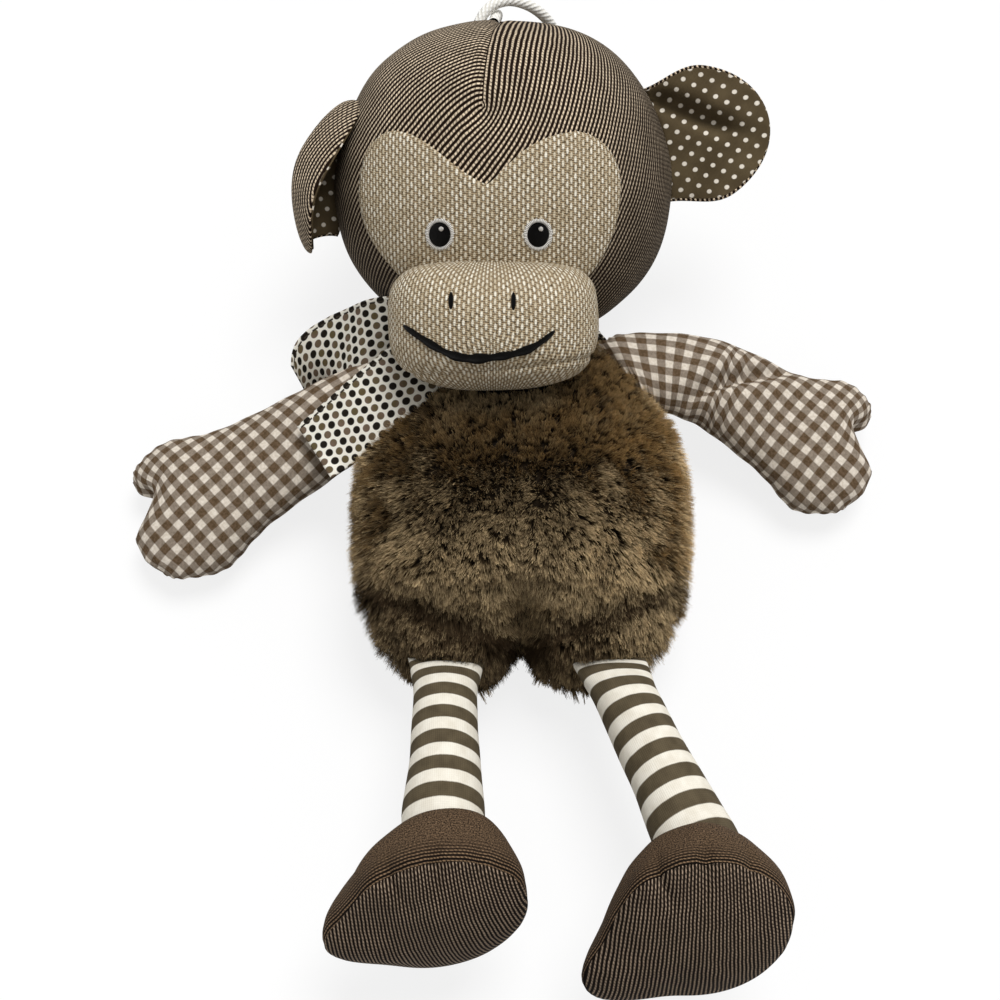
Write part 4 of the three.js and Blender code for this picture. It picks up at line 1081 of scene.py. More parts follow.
def gingham():
    material, shader, start = new_finish("checked_cotton", roughness=0.9)
    across, along, flat = cloth_place(start, wander=0.5)
    warp = (across / CHECK).swing().smooth(*CHECK_EDGE)
    weft = (along / CHECK).swing().smooth(*CHECK_EDGE)
    twist = ((across + along) / TWIST_PITCH).swing()
    weave = (across / CHECK_WEAVE).swing() * (along / CHECK_WEAVE).swing()
    both = warp * weft
    single = warp + weft - both * 2
    shade = both + single * (twist * 0.3 + 0.6)
    cloud = flat.speckle(1.1 * MM, detail=2).smooth(0.3, 0.7)
    cream = cloud.mix(paint("d6cab9"), paint("e9dfd1"))
    taupe = cloud.mix(paint("54432f"), paint("6c5844"))
    join(shader, shade.mix(cream, taupe), weave + twist * 0.4, depth=0.12)
    return material


checked_cotton = gingham()

# %% Arms
SHOULDER_TOP, SHOULDER_BOTTOM, SHOULDER_ROUND, SHOULDER_SUNK = 67, 45.5, 9, 5.5
ARM_ROOT_HEIGHT, ARM_ROOT_WIDTH, UPPER_ARM_WIDTH = 38, 25, 31
ELBOW_WIDTH, WRIST_WIDTH, HAND_WIDTH = 35, 43, 57
ELBOW_THICKNESS, HAND_THICKNESS = 25, 28
THUMB_NOTCH, THUMB_NOTCH_PLACE, THUMB_NOTCH_WIDTH, FINGER_REACH = 5, 0.45, 0.17, 9
FINGERS_FROM, LITTLE_FINGER, LITTLE_FINGER_FROM = (-0.35, 0.15), 0.45, 0.55
ARM_SQUARENESS, ARM_LIMIT = 0.9, 3
HAND_SHARE, ELBOW_SHARE, GATHER_SHARES = 0.72, 3 / 7, (0.25, 0.42)
CHECK_TURN_UPPER, CHECK_TURN_FORE, CHECK_TURN_REACH = math.radians(8), math.radians(14), (-6, 10)
PUCKER_PITCH, PUCKER, PUCKER_REACH = 6.5, 0.55, 5
ARM_SEAM, ARM_SEAM_SOFT = 0.5, 1.2
GATHER_PITCH, GATHER, GATHER_WIDTH = 5.5, 1.5, 0.5
CREASE_PAST_ELBOW, CREASE_LEAN = 4, 9
CREASE_WAVES = [
    # how far past the crease, how deep and how wide: one valley between two rolls of cloth
    (0, 6, 1.4), (-5, -2.4, 3.5), (5, -1.6, 3),
]
ARM_PLANS = {
    # side, length above and below the elbow, direction above and below it, and whether it is folded there
    "left": (1, 38, 63.5, math.radians(-3.5), math.radians(-24.7), True),
    "right": (-1, 41, 80, math.radians(-27.5), math.radians(-27.9), False),
}
shoulder_middle = (SHOULDER_TOP + SHOULDER_BOTTOM) / 2


def body_side(y):
    """How far across the body's side lies by the shoulder."""
    share = (y - SHOULDER_ALONG) / (NECK_ALONG - SHOULDER_ALONG)
    return lerp(SHOULDER_HALF_WIDTH, NECK_HALF_WIDTH, share)


def arm_form(side, upper, fore, upper_angle, fore_angle, folded):
    """An arm from its shoulder seam to its mitten hand."""
    root = Vector((side * (body_side(shoulder_middle) - SHOULDER_SUNK), shoulder_middle))
    upper_step = Vector((side * math.cos(upper_angle), math.sin(upper_angle)))
    fore_step = Vector((side * math.cos(fore_angle), math.sin(fore_angle)))
    elbow = root + upper_step * upper
    wrist = elbow + fore_step * (fore / 2)
    tip = elbow + fore_step * fore
    hand_height = HAND_THICKNESS / 2 - FLATTENED
    slope = body_side(SHOULDER_BOTTOM) - body_side(SHOULDER_TOP)
    root_lean = math.atan2(slope, SHOULDER_TOP - SHOULDER_BOTTOM)
    half_way = (ARM_ROOT_HEIGHT + hand_height) / 2
    bend = (upper_angle + fore_angle) / 2

    def row(place, width, height, thickness, lean):
        return (place.x, place.y, width / 2, height, thickness / 2, lean)

    stations = through(
        row(root, ARM_ROOT_WIDTH, ARM_ROOT_HEIGHT, 0, root_lean),
        row(root.lerp(elbow, 0.1), ARM_ROOT_WIDTH, ARM_ROOT_HEIGHT, SHOULDER_ROUND * 1.5, root_lean * 0.8),
        row(root.lerp(elbow, 0.3), UPPER_ARM_WIDTH, ARM_ROOT_HEIGHT - 2, SHOULDER_ROUND * 2, root_lean * 0.5),
        row(elbow, ELBOW_WIDTH, half_way + 2, ELBOW_THICKNESS, bend),
        row(wrist, WRIST_WIDTH, half_way - 8, (ELBOW_THICKNESS + HAND_THICKNESS) / 2, fore_angle),
        row(wrist.lerp(tip, 0.55), HAND_WIDTH, hand_height, HAND_THICKNESS, fore_angle),
        row(wrist.lerp(tip, 0.9), HAND_WIDTH * 0.88, hand_height, HAND_THICKNESS * 0.62, fore_angle),
        row(tip, HAND_WIDTH * 0.72, hand_height, 0, fore_angle))

    def form(u, v):
        x, y, half_width, height, half, lean = stations(v)
        c, s = rounded(u * TAU, ARM_SQUARENESS)
        run = v * (upper + fore)
        from_edge = abs(math.asin(max(min(math.sin(u * TAU), 1), -1))) * half
        pucker = PUCKER * math.cos(run / PUCKER_PITCH * TAU + c) * hump(from_edge, PUCKER_REACH)
        gather = GATHER * math.cos(run / GATHER_PITCH * TAU) * hump(c + 1, GATHER_WIDTH)
        gather *= 1 - smoothstep(v, *GATHER_SHARES)
        crease = 0.0
        if folded:
            place = run - ELBOW_SHARE * (upper + fore) - CREASE_PAST_ELBOW - CREASE_LEAN * c
            crease = sum(depth * hump(place - past, width) for past, depth, width in CREASE_WAVES)
            crease *= max(math.sin(u * TAU), 0) ** 0.5
        swell = uneven(Vector((x, y, height + s * half)), size=15, amount=0.8)
        across = c * (half_width - ARM_SEAM * hump(from_edge, ARM_SEAM_SOFT) + pucker * 0.5)
        end = smoothstep(v, HAND_SHARE, 1)
        fingers = smoothstep(-c, *FINGERS_FROM) * (1 - LITTLE_FINGER * smoothstep(-c, LITTLE_FINGER_FROM, 1))
        notch = THUMB_NOTCH * hump(c - THUMB_NOTCH_PLACE, THUMB_NOTCH_WIDTH)
        pull = end * (notch - FINGER_REACH * fingers)
        thick = max(half + swell + pucker + gather - crease, 0) if 0 < v < 1 else 0
        return Vector((
            x - side * (math.cos(lean) * pull + math.sin(lean) * across),
            y - math.sin(lean) * pull + math.cos(lean) * across,
            max(height + s * min(thick, half + ARM_LIMIT), 0)))

    return form


print("arms", [plan[1] + plan[2] for plan in ARM_PLANS.values()], "mm long")

# %% Arm covers
ARM_COLUMNS, ARM_ROWS = 96, 112


def turned_checks(form, columns, rows):
    """Checks that follow the arm, and turn with the cut of the hand past the elbow."""
    plain = measured(form, columns, rows, middle=0.25)
    elbow = plain(0.25, round(ELBOW_SHARE * rows) / rows)[1]

    def lay(u, v):
        across, along = plain(u, v)
        turn = lerp(CHECK_TURN_UPPER, CHECK_TURN_FORE, smoothstep(along - elbow, *CHECK_TURN_REACH))
        return (across * math.cos(turn) - (along - elbow) * math.sin(turn),
                across * math.sin(turn) + (along - elbow) * math.cos(turn))

    return lay


for name, plan in ARM_PLANS.items():
    form = arm_form(*plan)
    bm = grid(form, ARM_COLUMNS, ARM_ROWS, turned_checks(form, ARM_COLUMNS, ARM_ROWS))
    piece(f"{name}_arm_cover", bm, f"{name}_arm", checked_cotton,
          [f"{name}_arm_{part}" for part in ("front_panel", "back_panel", "filling")])

# %% [markdown]
# ## Striped legs
# Each leg is a tube of striped jersey, flat where it is sewn under the fur. A plain cylinder would give
# even stripes, but the filling pulls the cloth: the stripes arch over the leg and widen a little towards
# the ankle. So the cloth coordinates are bent before the stripes are counted. The fine knit shows as
# upright ribs.

# %% Stripe finish
STRIPE_PAIR, STRIPE_EDGE, STRIPE_STARTS = 8.3, (0.42, 0.52), {"left": -0.4, "right": 4.1}
STRIPE_ARCH, STRIPE_STRETCH = 2.0, 0.0021
KNIT, KNIT_ROW = 0.75, 0.6


def striped_jersey(name, shift):
    material, shader, start = new_finish(name, roughness=0.9)
    across, along, flat = cloth_place(start, wander=0.35)
    band = ((along + shift) / STRIPE_PAIR).swing().smooth(*STRIPE_EDGE)
    loops = (across / KNIT).swing() * 0.6 + (along / KNIT_ROW).swing() * 0.4
    cloud = flat.speckle(5 * MM, detail=3).smooth(0.3, 0.75)
    cream = (cloud * 0.6 + loops * 0.4).mix(paint("f4efe2"), paint("ddd5c4"))
    dark = (cloud * 0.5 + loops * 0.5).mix(paint("645945"), paint("463d2e"))
    join(shader, band.mix(cream, dark), loops, depth=0.12)
    return material


jerseys = {name: striped_jersey(f"striped_jersey_{name}", shift) for name, shift in STRIPE_STARTS.items()}

# %% Legs
THIGH_RADIUS, ANKLE_RADIUS = 11, 14.5
HIP_ALONG, HIP_HEIGHT, HIP_HALF_WIDTH = -60.5, 40, 14
LEG_PLANS = {
    # side, hip across, length, spread and rise
    "left": (1, 31, 76, math.radians(23), math.radians(8)),
    "right": (-1, 27.5, 62.5, 0.0, math.radians(12)),
}
leg_row = through(
    # share of the length, half width, half thickness
    (0, HIP_HALF_WIDTH, 0),
    (0.05, HIP_HALF_WIDTH - 0.5, 4.5),
    (0.13, HIP_HALF_WIDTH - 1.5, THIGH_RADIUS - 2.8),
    (0.27, THIGH_RADIUS + 0.5, THIGH_RADIUS + 0.4),
    (0.65, THIGH_RADIUS + 1.4, THIGH_RADIUS + 1.4),
    (1, ANKLE_RADIUS, ANKLE_RADIUS),
    (1.14, ANKLE_RADIUS - 2.5, ANKLE_RADIUS - 2.5),
    (1.2, 0, 0))
HIP_TURN, LUMP_RADIUS, LEG_ENDS = 2.5, 12, 0.02


def leg_axis(side, hip_across, length, spread, rise):
    """Where a leg starts, its direction and how long it is."""
    hip = Vector((side * hip_across, HIP_ALONG, HIP_HEIGHT))
    along = Vector((side * math.sin(spread), -math.cos(spread), 0)) * math.cos(rise)
    along.z = math.sin(rise)
    return hip, along, length


def leg_form(hip, along, length):
    """A sleeve that is flat at the hip and round from there to the ankle."""
    square = Vector((0, 0, 1)).cross(along).normalized()
    above = along.cross(square)

    def form(u, v):
        share, wide, thick = leg_row(v)
        middle = hip + along * (share * length)
        across = ACROSS.lerp(square, min(max(share, 0) * HIP_TURN, 1)).normalized()
        c = math.cos(u * TAU)
        s = math.sin(u * TAU)
        swell = uneven(middle + above * s * LUMP_RADIUS + square * c * LUMP_RADIUS, size=14, amount=0.5)
        swell *= 1 if LEG_ENDS < v < 1 - LEG_ENDS else 0
        return middle + across * c * max(wide + swell, 0) + above * s * max(thick + swell, 0)

    return form


def stretched(plain):
    """Stripes that arch over the leg and widen towards the ankle, where the jersey is pulled tight."""
    def lay(u, v):
        across, along = plain(u, v)
        return across, along - STRIPE_STRETCH * along * along - STRIPE_ARCH * (1 - math.sin(u * TAU))

    return lay


LEG_COLUMNS, LEG_ROWS = 56, 72
for name, plan in LEG_PLANS.items():
    form = leg_form(*leg_axis(*plan))
    bm = grid(form, LEG_COLUMNS, LEG_ROWS, stretched(measured(form, LEG_COLUMNS, LEG_ROWS, middle=0.25)))
    piece(f"{name}_leg_cover", bm, f"{name}_leg", jerseys[name],
          [f"{name}_leg_sleeve", f"{name}_leg_filling"])

# %% [markdown]
# ## Feet
# A foot is a twill cap that flares from the ankle, closed by a bulging sole that comes to a point at the
# toe. One closed form would lose the seam between them, so each is its own grid, drawn in along the same
# outline and gathered in the same small folds. On the sole the ribs run down from the top of the seam, a
# little fanned and leaning, and on the cap they run round the ankle.

# %% Feet
FOOT_START, FOOT_HEIGHT = 7.8, 34
SOLE_HALF_LENGTH, SOLE_HALF_WIDTH, SOLE_DROP, SOLE_BULGE = 32, 30, 9, 9.5
TOE_SHARPNESS = 0.38
SOLE_SEAM, SOLE_SEAM_SOFT = 1.0, 1.6
SOLE_FAN, SOLE_POWER = 0.3, 2.6
CAP_LENGTH, CAP_CLEARANCE, CAP_ROUND, CAP_FLARE_POWER = 36, 0.6, 0.65, 0.85
FOLDS = [
    # angle round the foot, how far it stands out and how wide it is
    (1.05, -2.2, 0.06), (1.3, 1.2, 0.15), (1.58, -3.6, 0.06),
    (1.85, 1.8, 0.17), (2.15, -3, 0.06), (2.4, 0.8, 0.14),
]
FOLD_LENGTH, FOLD_OUT, FOLD_FORWARD = 10, 0.7, 0.5
FOOT_PLANS = {
    # where the sole faces, which way the toe points and how far, how far the sole is shifted that way
    # and how far its ribs lean towards the heel
    "left": (Vector((0, -0.78, 0.62)), math.radians(-142), 16, 0.5, 1),
    "right": (Vector((0.12, -0.87, 0.44)), math.radians(-160), 10, 6, 13),
}


def toe_fold(angle, from_seam):
    """Small folds where the cap is gathered on to the top of the sole."""
    return sum(rise * hump(angle - at, width) for at, rise, width in FOLDS) * hump(from_seam, FOLD_LENGTH)


def foot_forms(ankle, facing, toe_turn, toe_reach, sole_shift, rib_lean):
    """The forms of a foot's cap and its sole, and the cloth coordinates of the sole."""
    out = facing.normalized()
    right = (ACROSS - out * out.x).normalized()
    above = out.cross(right)

    def outline(angle):
        off = math.atan2(math.sin(angle - toe_turn), math.cos(angle - toe_turn))
        oval = 1 / math.hypot(math.cos(off) / SOLE_HALF_LENGTH, math.sin(off) / SOLE_HALF_WIDTH)
        return oval + toe_reach * hump(off, TOE_SHARPNESS)

    def place(angle, radius, share, height):
        return (ankle + right * (math.cos(angle) * radius + share * sole_shift * math.cos(toe_turn))
                + above * (math.sin(angle) * radius - share * SOLE_DROP) + out * height)

    def upper(u, v):
        angle = u * TAU
        flare = math.sin(v * math.pi / 2) ** CAP_FLARE_POWER
        from_seam = (1 - v) * CAP_LENGTH
        radius = lerp(ANKLE_RADIUS + CAP_CLEARANCE, outline(angle), flare)
        radius -= SOLE_SEAM * hump(from_seam, SOLE_SEAM_SOFT)
        rise = 1 - math.cos(v * math.pi / 2)
        height = lerp(FOOT_START, FOOT_HEIGHT, rise * CAP_ROUND + v * (1 - CAP_ROUND))
        plain = place(angle, radius, flare, height)
        fold = toe_fold(angle, from_seam)
        radius += uneven(plain, size=13, amount=1.0) + fold * FOLD_OUT
        return place(angle, radius, flare, height + fold * FOLD_FORWARD)

    def sole(u, v):
        angle = u * TAU
        share = 1 - v
        from_seam = v * SOLE_HALF_LENGTH
        radius = share * outline(angle) - SOLE_SEAM * hump(from_seam, SOLE_SEAM_SOFT)
        bulge = SOLE_BULGE * (1 - share ** SOLE_POWER)
        fold = toe_fold(angle, from_seam)
        plain = place(angle, radius + fold * FOLD_OUT, 1, FOOT_HEIGHT + bulge + fold * FOLD_FORWARD)
        return plain + out * (uneven(plain, size=15, amount=0.9) * min(v * 4, 1))

    def sole_lay(u, v):
        away = sole(u, v) - ankle
        up = away.dot(above)
        down = 0.5 - up / (2 * SOLE_HALF_LENGTH)
        return (away.dot(right) - rib_lean * down * down) / (1 + SOLE_FAN * (down - 0.5)), up

    return upper, sole, sole_lay


print("soles", 2 * SOLE_HALF_LENGTH, "by", 2 * SOLE_HALF_WIDTH, "mm before the toe")

# %% Foot covers
FOOT_COLUMNS, FOOT_ROWS = 120, 44
for name, foot_plan in FOOT_PLANS.items():
    hip, along, length = leg_axis(*LEG_PLANS[name])
    upper, sole, sole_lay = foot_forms(hip + along * length, *foot_plan)
    upper_plain = measured(upper, FOOT_COLUMNS, FOOT_ROWS, middle=0.25)
    bm = grid(upper, FOOT_COLUMNS, FOOT_ROWS, lambda u, v: upper_plain(u, v)[::-1])
    piece(f"{name}_foot_upper_cover", bm, f"{name}_foot", upper_twill,
          [f"{name}_foot_upper", f"{name}_foot_filling"], wall=1.0)
    bm = grid(sole, FOOT_COLUMNS, FOOT_ROWS, sole_lay)
    piece(f"{name}_foot_sole_cover", bm, f"{name}_foot", sole_twill, [f"{name}_foot_sole"],
          wall=1.0)

# %% [markdown]
# ## Spotted ribbon
# A cotton ribbon is tied round the neck. Its front tail lies over the right arm and its back tail rolls
# over and goes down behind it. A cloth simulation could lay it down, but a line of listed stations
# with a roll at each one lies just as the picture shows. Spots sit in a close lattice whose rows are black
# and brown by turns.

# %% Ribbon finish
SPOT_SPACING, SPOT_RADIUS, SPOT_BLUR = 4.0, 1.46, 0.14
RIBBON_WIDTH, RIBBON_WEAVE = 26, 0.4
HEM_INSET, HEM_STITCH = 1.6, 3.4


def spotted_ribbon():
    material, shader, start = new_finish("spotted_ribbon", roughness=0.8)
    across, along, flat = cloth_place(start, wander=0.15)
    line = SPOT_SPACING * math.sqrt(3)

    def spots(shift_across, shift_along):
        wide = ((across / SPOT_SPACING) + shift_across).swing() * (SPOT_SPACING / 2)
        long = ((along / line) + shift_along).swing() * (line / 2)
        away = (wide * wide + long * long).math("SQRT")
        return 1 - away.smooth(SPOT_RADIUS - SPOT_BLUR, SPOT_RADIUS + SPOT_BLUR)

    weave = (across / RIBBON_WEAVE).swing() * (along / RIBBON_WEAVE).swing()
    cloud = flat.speckle(7 * MM, detail=2).smooth(0.35, 0.65)
    ground_colour = weave.mix(paint("f2eee2"), paint("dad5c7"))
    brown = cloud.mix(paint("5f5338"), paint("6f5d4e"))
    spotted = spots(0.5, 0.5).mix(ground_colour, paint("1d1812"))
    spotted = spots(0.0, 0.0).mix(spotted, brown)
    beside = (across + (RIBBON_WIDTH / 2 - HEM_INSET)).math("ABSOLUTE")
    stitch = (1 - beside.smooth(0.25, 0.45)) * (along / HEM_STITCH).swing().smooth(0.3, 0.4)
    join(shader, stitch.mix(spotted, paint("39332b")), weave - stitch, depth=0.1)
    return material


ribbon_cotton = spotted_ribbon()

# %% Ribbon tails
FRONT_TAIL = [
    # across, along, height and roll in degrees
    (-33.5, 54.9, 55.5, 0), (-45.3, 42.5, 57.5, 0), (-57.3, 33, 54, 0), (-68, 25.8, 48, 0),
    (-78, 18.9, 43, 0),
]
BACK_TAIL = [
    (-44.7, 68.9, 50.4, 66), (-59.2, 65.5, 47, 42), (-70.2, 64.3, 37.5, 28), (-79, 61.2, 30, 40),
    (-85.3, 54.6, 21, 70),
]
RIBBON_WALL = 0.7
TAIL_WAVES, TAIL_DROOP, TAIL_DROOP_FROM, TAIL_DROOP_WIDTH = 7, 2.5, 0.88, 0.35
TAIL_LOOK_AHEAD = 0.01
TAIL_COLUMNS, TAIL_ROWS = 28, 64


def tail_form(points, wave):
    """A tail of ribbon along a line of points, with slight waves and a drooping corner."""
    line = through(*points)

    def form(u, v):
        x, y, z, roll = line(v)
        ahead = line(min(v + TAIL_LOOK_AHEAD, 1)) - line(max(v - TAIL_LOOK_AHEAD, 0))
        along = Vector(ahead[:3]).normalized()
        level = Vector((along.y, -along.x, 0)).normalized()
        across = level * math.cos(math.radians(roll)) + Vector((0, 0, math.sin(math.radians(roll))))
        normal = along.cross(across).normalized()
        share = 0.5 - u
        lift = RIBBON_WALL + wave * math.sin(v * TAIL_WAVES + share * 2) * (share + 0.2)
        lift -= TAIL_DROOP * smoothstep(v, TAIL_DROOP_FROM, 1) * hump(share + 0.5, TAIL_DROOP_WIDTH)
        return Vector((x, y, z)) + across * (share * RIBBON_WIDTH) + normal * lift

    return form


for tail, points, wave in (("ribbon_front_tail", FRONT_TAIL, 0.8), ("ribbon_back_tail", BACK_TAIL, 1.0)):
    form = tail_form(points, wave)
    bm = plain_grid(form, TAIL_COLUMNS, TAIL_ROWS)
    middle = [form(0.5, j / TAIL_ROWS) for j in range(TAIL_ROWS + 1)]
    length = sum((b - a).length for a, b in pairwise(middle))
    made = piece(f"{tail}_cotton", bm, None, ribbon_cotton, [tail], wall=RIBBON_WALL)
    length * MM
    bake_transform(made)

# %% Ribbon band and knot
BAND_START, BAND_END, BAND_LIFT = 0.935, 0.985, 1.2
BAND_COLUMNS, BAND_ROWS, KNOT_COLUMNS, KNOT_ROWS = 96, 6, 48, 24
KNOT_PLACE, KNOT_SIZE = Vector((-31.5, 62.3, 45.2)), Vector((6, 5, 4))
KNOT_CREASES, KNOT_CREASE, KNOT_TWIST = 4, 0.16, 2


def band_form(u, v):
    return body_point(lerp(BAND_START, BAND_END, v), u * TAU, -BAND_LIFT)


def knot_form(u, v):
    lift = (v - 0.5) * math.pi
    crease = 1 - KNOT_CREASE * math.cos(u * TAU * KNOT_CREASES + lift * KNOT_TWIST) ** 2
    out = Vector((math.cos(lift) * math.cos(u * TAU), math.sin(lift), math.cos(lift) * math.sin(u * TAU)))
    return KNOT_PLACE + Vector(a * b * crease for a, b in zip(out, KNOT_SIZE))


bm = plain_grid(band_form, BAND_COLUMNS, BAND_ROWS)
piece("ribbon_neck_band_cotton", bm, "torso", ribbon_cotton, ["ribbon_neck_band"],
      wall=RIBBON_WALL)
bm = plain_grid(knot_form, KNOT_COLUMNS, KNOT_ROWS)
piece("ribbon_knot_cotton", bm, "torso", ribbon_cotton, ["ribbon_knot"])

# %% [markdown]
# ## Fur
# The body is faux fur, about 6 mm of brown pile with dark roots and tan tips, brushed towards the feet and
# lying in small tufts. Blender's hair would look well, but it isn't a mesh and would be lost. So every
# lock of hair is a thin tapering strip: one wide grid gives a column for each, the columns between are cut
# away, and each column is laid from its root to its tip. Its colour is read from its own map: across for
# the tone and up for root to tip.

# %% Fur finish
PILE = 3.4


def faux_fur():
    material, shader, start = new_finish("faux_fur", roughness=0.8)
    tone, along = start.node("UVMap", {"uv_map": "OFBake"}).parts()
    low = along.smooth(0.0, 0.6).mix(paint("120c06"), paint("463824"))
    tip = tone.mix(paint("443524"), paint("e6ca9a"))
    join(shader, along.smooth(0.45, 1.0).mix(low, tip))
    return material


def fur_backing():
    material, shader, start = new_finish("fur_backing", roughness=0.95)
    _, _, flat = cloth_place(start)
    shade = flat.speckle(2.5 * MM, detail=4).smooth(0.3, 0.7)
    join(shader, shade.mix(paint("0f0b07"), paint("2c2216")), shade, depth=0.6)
    return material


fur_finish = faux_fur()
backing_finish = fur_backing()

# %% Fur backing
SKIN_COLUMNS, SKIN_ROWS = 96, 96


def skin_form(u, v):
    return body_point(v, u * TAU, PILE)


bm = plain_grid(skin_form, SKIN_COLUMNS, SKIN_ROWS)
piece("body_skin", bm, "torso", backing_finish, ["body_filling"])

# %% Where tufts may stand
SKIN_STEP = 0.004
HEAD_CLEARANCE, MUZZLE_CLEARANCE, TAIL_CLEARANCE = 1.03, 1.05, 0.8
LEG_CLEARANCE, LEG_CLEARS_FROM, LEG_CLEARS_BY = THIGH_RADIUS - 0.5, 2, 18
TAIL_STEPS = 12
front_tail = tail_form(FRONT_TAIL, 0)
TAIL_MIDDLES = [front_tail(0.5, i / TAIL_STEPS) for i in range(TAIL_STEPS + 1)]
LEG_AXES = [leg_axis(*plan) for plan in LEG_PLANS.values()]


def skin_frame(t, angle):
    """A place on the backing, its outward direction and how much cloth lies round it."""
    before, after = max(t - SKIN_STEP, 0), min(t + SKIN_STEP, 1)
    round_it = body_point(t, angle + SKIN_STEP, PILE) - body_point(t, angle - SKIN_STEP, PILE)
    along_it = body_point(after, angle, PILE) - body_point(before, angle, PILE)
    normal = along_it.cross(round_it)
    return body_point(t, angle, PILE), normal.normalized(), normal.length


def in_the_way(tip):
    """Whether a tuft would stand in the head, the muzzle, a leg or the front ribbon."""
    if head_share(tip) < HEAD_CLEARANCE or muzzle_share(tip) < MUZZLE_CLEARANCE:
        return True
    for hip, along, _ in LEG_AXES:
        reach = (tip - hip).dot(along)
        clear = LEG_CLEARANCE * smoothstep(reach, LEG_CLEARS_FROM, LEG_CLEARS_BY)
        if reach > 0 and (tip - hip - along * reach).length < clear:
            return True
    return any((tip.xy - middle.xy).length < RIBBON_WIDTH / 2 and tip.z > middle.z - TAIL_CLEARANCE
               for middle in TAIL_MIDDLES)


print("the pile stays clear of", len(LEG_AXES), "legs and", len(TAIL_MIDDLES), "places on the ribbon")

# %% How the pile lies
HAIR_RISE, HAIR_RUN = 3.6, 3.1
TOWARDS_FEET, SWIRL, SWIRL_SIZE = Vector((0, -1, -0.3)), 0.9, 11
WAVE_SIZE, SMALL_PATCH, LARGE_PATCH = 7, 3, 20
SWIRL_AWAY, WAVE_AWAY, PATCH_AWAY = Vector((40, 0, 0)), Vector((0, 70, 0)), Vector((0, 0, 90))
RISE_LEAST, RISE_SPREAD, RISE_WAVE, RISE_AT_SIDE, SIDE_RISES = 0.85, 0.3, 0.25, 0.45, (42, 58)
RUN_LEAST, RUN_SPREAD, RUN_AT_END, END_RUNS = 0.8, 0.4, 0.9, (54, 64)
LEG_TOP_ALONG, LEG_TOP_HEIGHT, LEG_TOP_LIFT = (48, 58), (40, 48), 0.9
TONE, TONE_SPREAD, PATCHINESS = 0.48, 0.28, 0.4
# painted light: the pile is made paler towards the head and on the left, and a painted sheen pales its sides
HEADWARD_PAINTED_LIGHT, HEADWARD = 0.12, (-25, 25)
SIDE_PAINTED_SHEEN, SIDEWAYS = 0.14, (28, 58)
LEFT_PAINTED_LIGHT, LEFTWARD = 0.34, (5, 50)
# painted shade: the pile is made darker in the belly fold and on the thigh lobes below it
FOLD_PAINTED_SHADE, FOLD_PAINTED_SHADE_WIDTH = 0.7, 3
LOBE_PAINTED_SHADE, BELOW_FOLD = 0.35, (0, 4)
# a tuft's place is kept as often as its step of cloth is a share of this area
LARGEST_STEP = 0.0021 * (BODY_HALF_WIDTH * (BODY_BOTTOM + NECK_ALONG))


def brushed(root, normal):
    """Which way the pile is brushed: towards the feet in swirls, and up over the tops of the legs."""
    swirl = Vector((noise.noise(root / SWIRL_SIZE), 0, noise.noise(root / SWIRL_SIZE + SWIRL_AWAY)))
    brush = TOWARDS_FEET + swirl * SWIRL
    over_leg = smoothstep(-root.y, *LEG_TOP_ALONG) * smoothstep(root.z, *LEG_TOP_HEIGHT)
    brush.z += LEG_TOP_LIFT * over_leg
    return brush - normal * (brush.dot(normal) * (1 - over_leg))


def pile_tone(root):
    """How pale the pile is: patchy at random, with painted light that makes it paler towards the head and on
    the left and a painted sheen at the sides, and painted shade that darkens it in the belly fold and on the
    lobes below it.
    """
    patch = noise.noise(root / SMALL_PATCH + PATCH_AWAY) * 0.5 + noise.noise(root / LARGE_PATCH) * 0.25
    above_fold = root.y - belly_fold(root.x)
    # painted light towards the head and on the left, and a painted sheen at the sides
    tone = TONE + PATCHINESS * patch + HEADWARD_PAINTED_LIGHT * smoothstep(root.y, *HEADWARD)
    tone += SIDE_PAINTED_SHEEN * smoothstep(abs(root.x), *SIDEWAYS) + LEFT_PAINTED_LIGHT * smoothstep(root.x, *LEFTWARD)
    # painted shade in the belly fold and on the lobes below it
    tone -= FOLD_PAINTED_SHADE * hump(above_fold, FOLD_PAINTED_SHADE_WIDTH)
    return tone - LOBE_PAINTED_SHADE * smoothstep(-above_fold, *BELOW_FOLD)


def tufts(count, start_angle, end_angle, chance):
    """Places for tufts, spread evenly over the cloth, with each tuft's tip and tone."""
    made = []
    while len(made) < count:
        t, angle = chance.random(), lerp(start_angle, end_angle, chance.random())
        root, normal, area = skin_frame(t, angle)
        if area < chance.random() * LARGEST_STEP:
            continue
        wave = noise.noise(root / WAVE_SIZE + WAVE_AWAY)
        full = RISE_LEAST + RISE_SPREAD * chance.random() + RISE_WAVE * wave
        full += RISE_AT_SIDE * smoothstep(abs(root.x), *SIDE_RISES)
        loose = RUN_LEAST + RUN_SPREAD * chance.random()
        loose *= 1 + RUN_AT_END * smoothstep(-root.y, *END_RUNS)
        tip = root + normal * (HAIR_RISE * full) + brushed(root, normal) * (HAIR_RUN * loose)
        if in_the_way(tip):
            made.append(None)
            continue
        tone = pile_tone(root) + chance.uniform(-TONE_SPREAD, TONE_SPREAD)
        made.append((root, normal, tip, tone))
    return [tuft for tuft in made if tuft]


print("a hair rises", HAIR_RISE, "mm and runs", HAIR_RUN, "mm")

# %% Fur
TUFT_RADIUS, HAIRS_IN_TUFT = 1.25, 12
HAIR_WIDTH, HAIR_SUNK, HAIR_TAPER, HAIR_STRAY = 0.34, 1.2, 0.7, 0.5
HAIR_SHARES, TUFT_GATHER, STRAY_TURN = (0.75, 1.1), 0.45, 0.35
HAIR_TONE_SPREAD, PALEST, TONE_WIDTH = 0.18, 0.98, 0.01
GROUND_GAP = 0.1


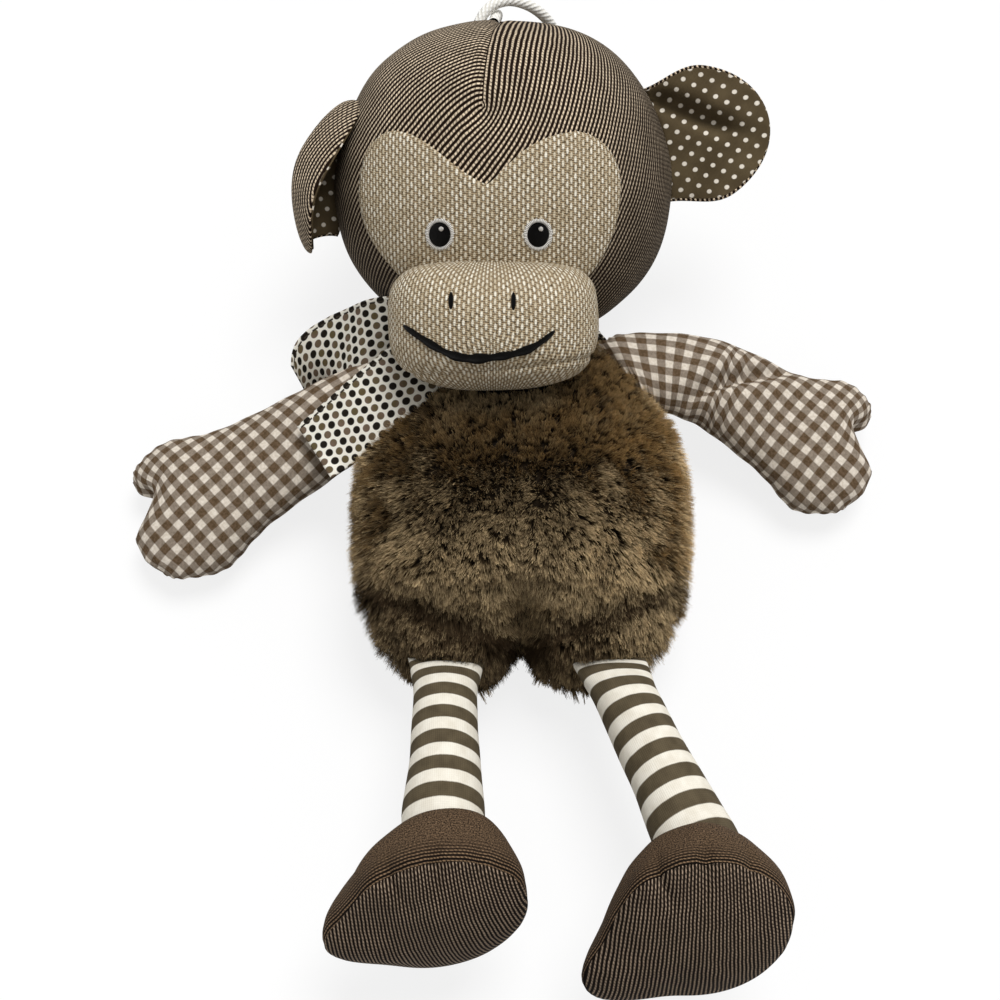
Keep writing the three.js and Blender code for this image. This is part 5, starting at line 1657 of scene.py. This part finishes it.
def hairs(tuft, chance):
    """The hairs of a tuft: each one's root, tip, width and tone."""
    root, normal, tip, tone = tuft
    side = normal.orthogonal().normalized()
    other = normal.cross(side)
    for _ in range(HAIRS_IN_TUFT):
        turn, out = chance.random() * TAU, TUFT_RADIUS * math.sqrt(chance.random())
        offset = (side * math.cos(turn) + other * math.sin(turn)) * out
        stray = Vector((chance.gauss(0, 1), chance.gauss(0, 1), chance.gauss(0, 1))) * HAIR_STRAY
        own_root = root + offset - normal * HAIR_SUNK
        own_tip = root.lerp(tip, chance.uniform(*HAIR_SHARES)) + offset * TUFT_GATHER + stray
        wide = (own_tip - own_root).cross(normal + stray * STRAY_TURN).normalized() * HAIR_WIDTH
        own_tone = tone + chance.uniform(-HAIR_TONE_SPREAD, HAIR_TONE_SPREAD)
        yield own_root, own_tip, wide, min(max(own_tone, 0), PALEST)


def fur(name, node, start_angle, end_angle, count, seed):
    """The pile of one panel, between two angles round the body."""
    chance = random.Random(seed)
    places = tufts(count, start_angle, end_angle, chance)
    strands = [hair for tuft in places for hair in hairs(tuft, chance)]
    columns = 2 * len(strands) - 1
    bm = bmesh.new()
    bmesh.ops.create_grid(bm, x_segments=columns, y_segments=1, size=0.5)
    between = [face for face in bm.faces
               if round((face.calc_center_median().x + 0.5) * columns - 0.5) % 2]
    bmesh.ops.delete(bm, geom=between, context="FACES")
    tones = bm.loops.layers.uv.new("OFBake")
    for face in bm.faces:
        for loop in face.loops:
            column = round((loop.vert.co.x + 0.5) * columns)
            loop[tones].uv = (strands[column // 2][3] + TONE_WIDTH * (column % 2), loop.vert.co.y + 0.5)
    for vert in bm.verts:
        column = round((vert.co.x + 0.5) * columns)
        t = vert.co.y + 0.5
        root, tip, wide, _ = strands[column // 2]
        point = root.lerp(tip, t) + wide * ((column % 2 - 0.5) * (1 - HAIR_TAPER * t))
        vert.co = Vector((point.x, point.y, max(point.z, GROUND_GAP))) * MM
    piece(name, bm, "torso", fur_finish, [node])


fur("fur_front_left", "body_front_left_panel", 0, TAU / 4, 8000, 3)
fur("fur_front_right", "body_front_right_panel", TAU / 4, TAU / 2, 8000, 5)
fur("fur_back", "body_back_panel", TAU / 2, TAU, 7000, 7)

# %% [markdown]
# ## Sizes
# The covers may stand a little proud of the solids.
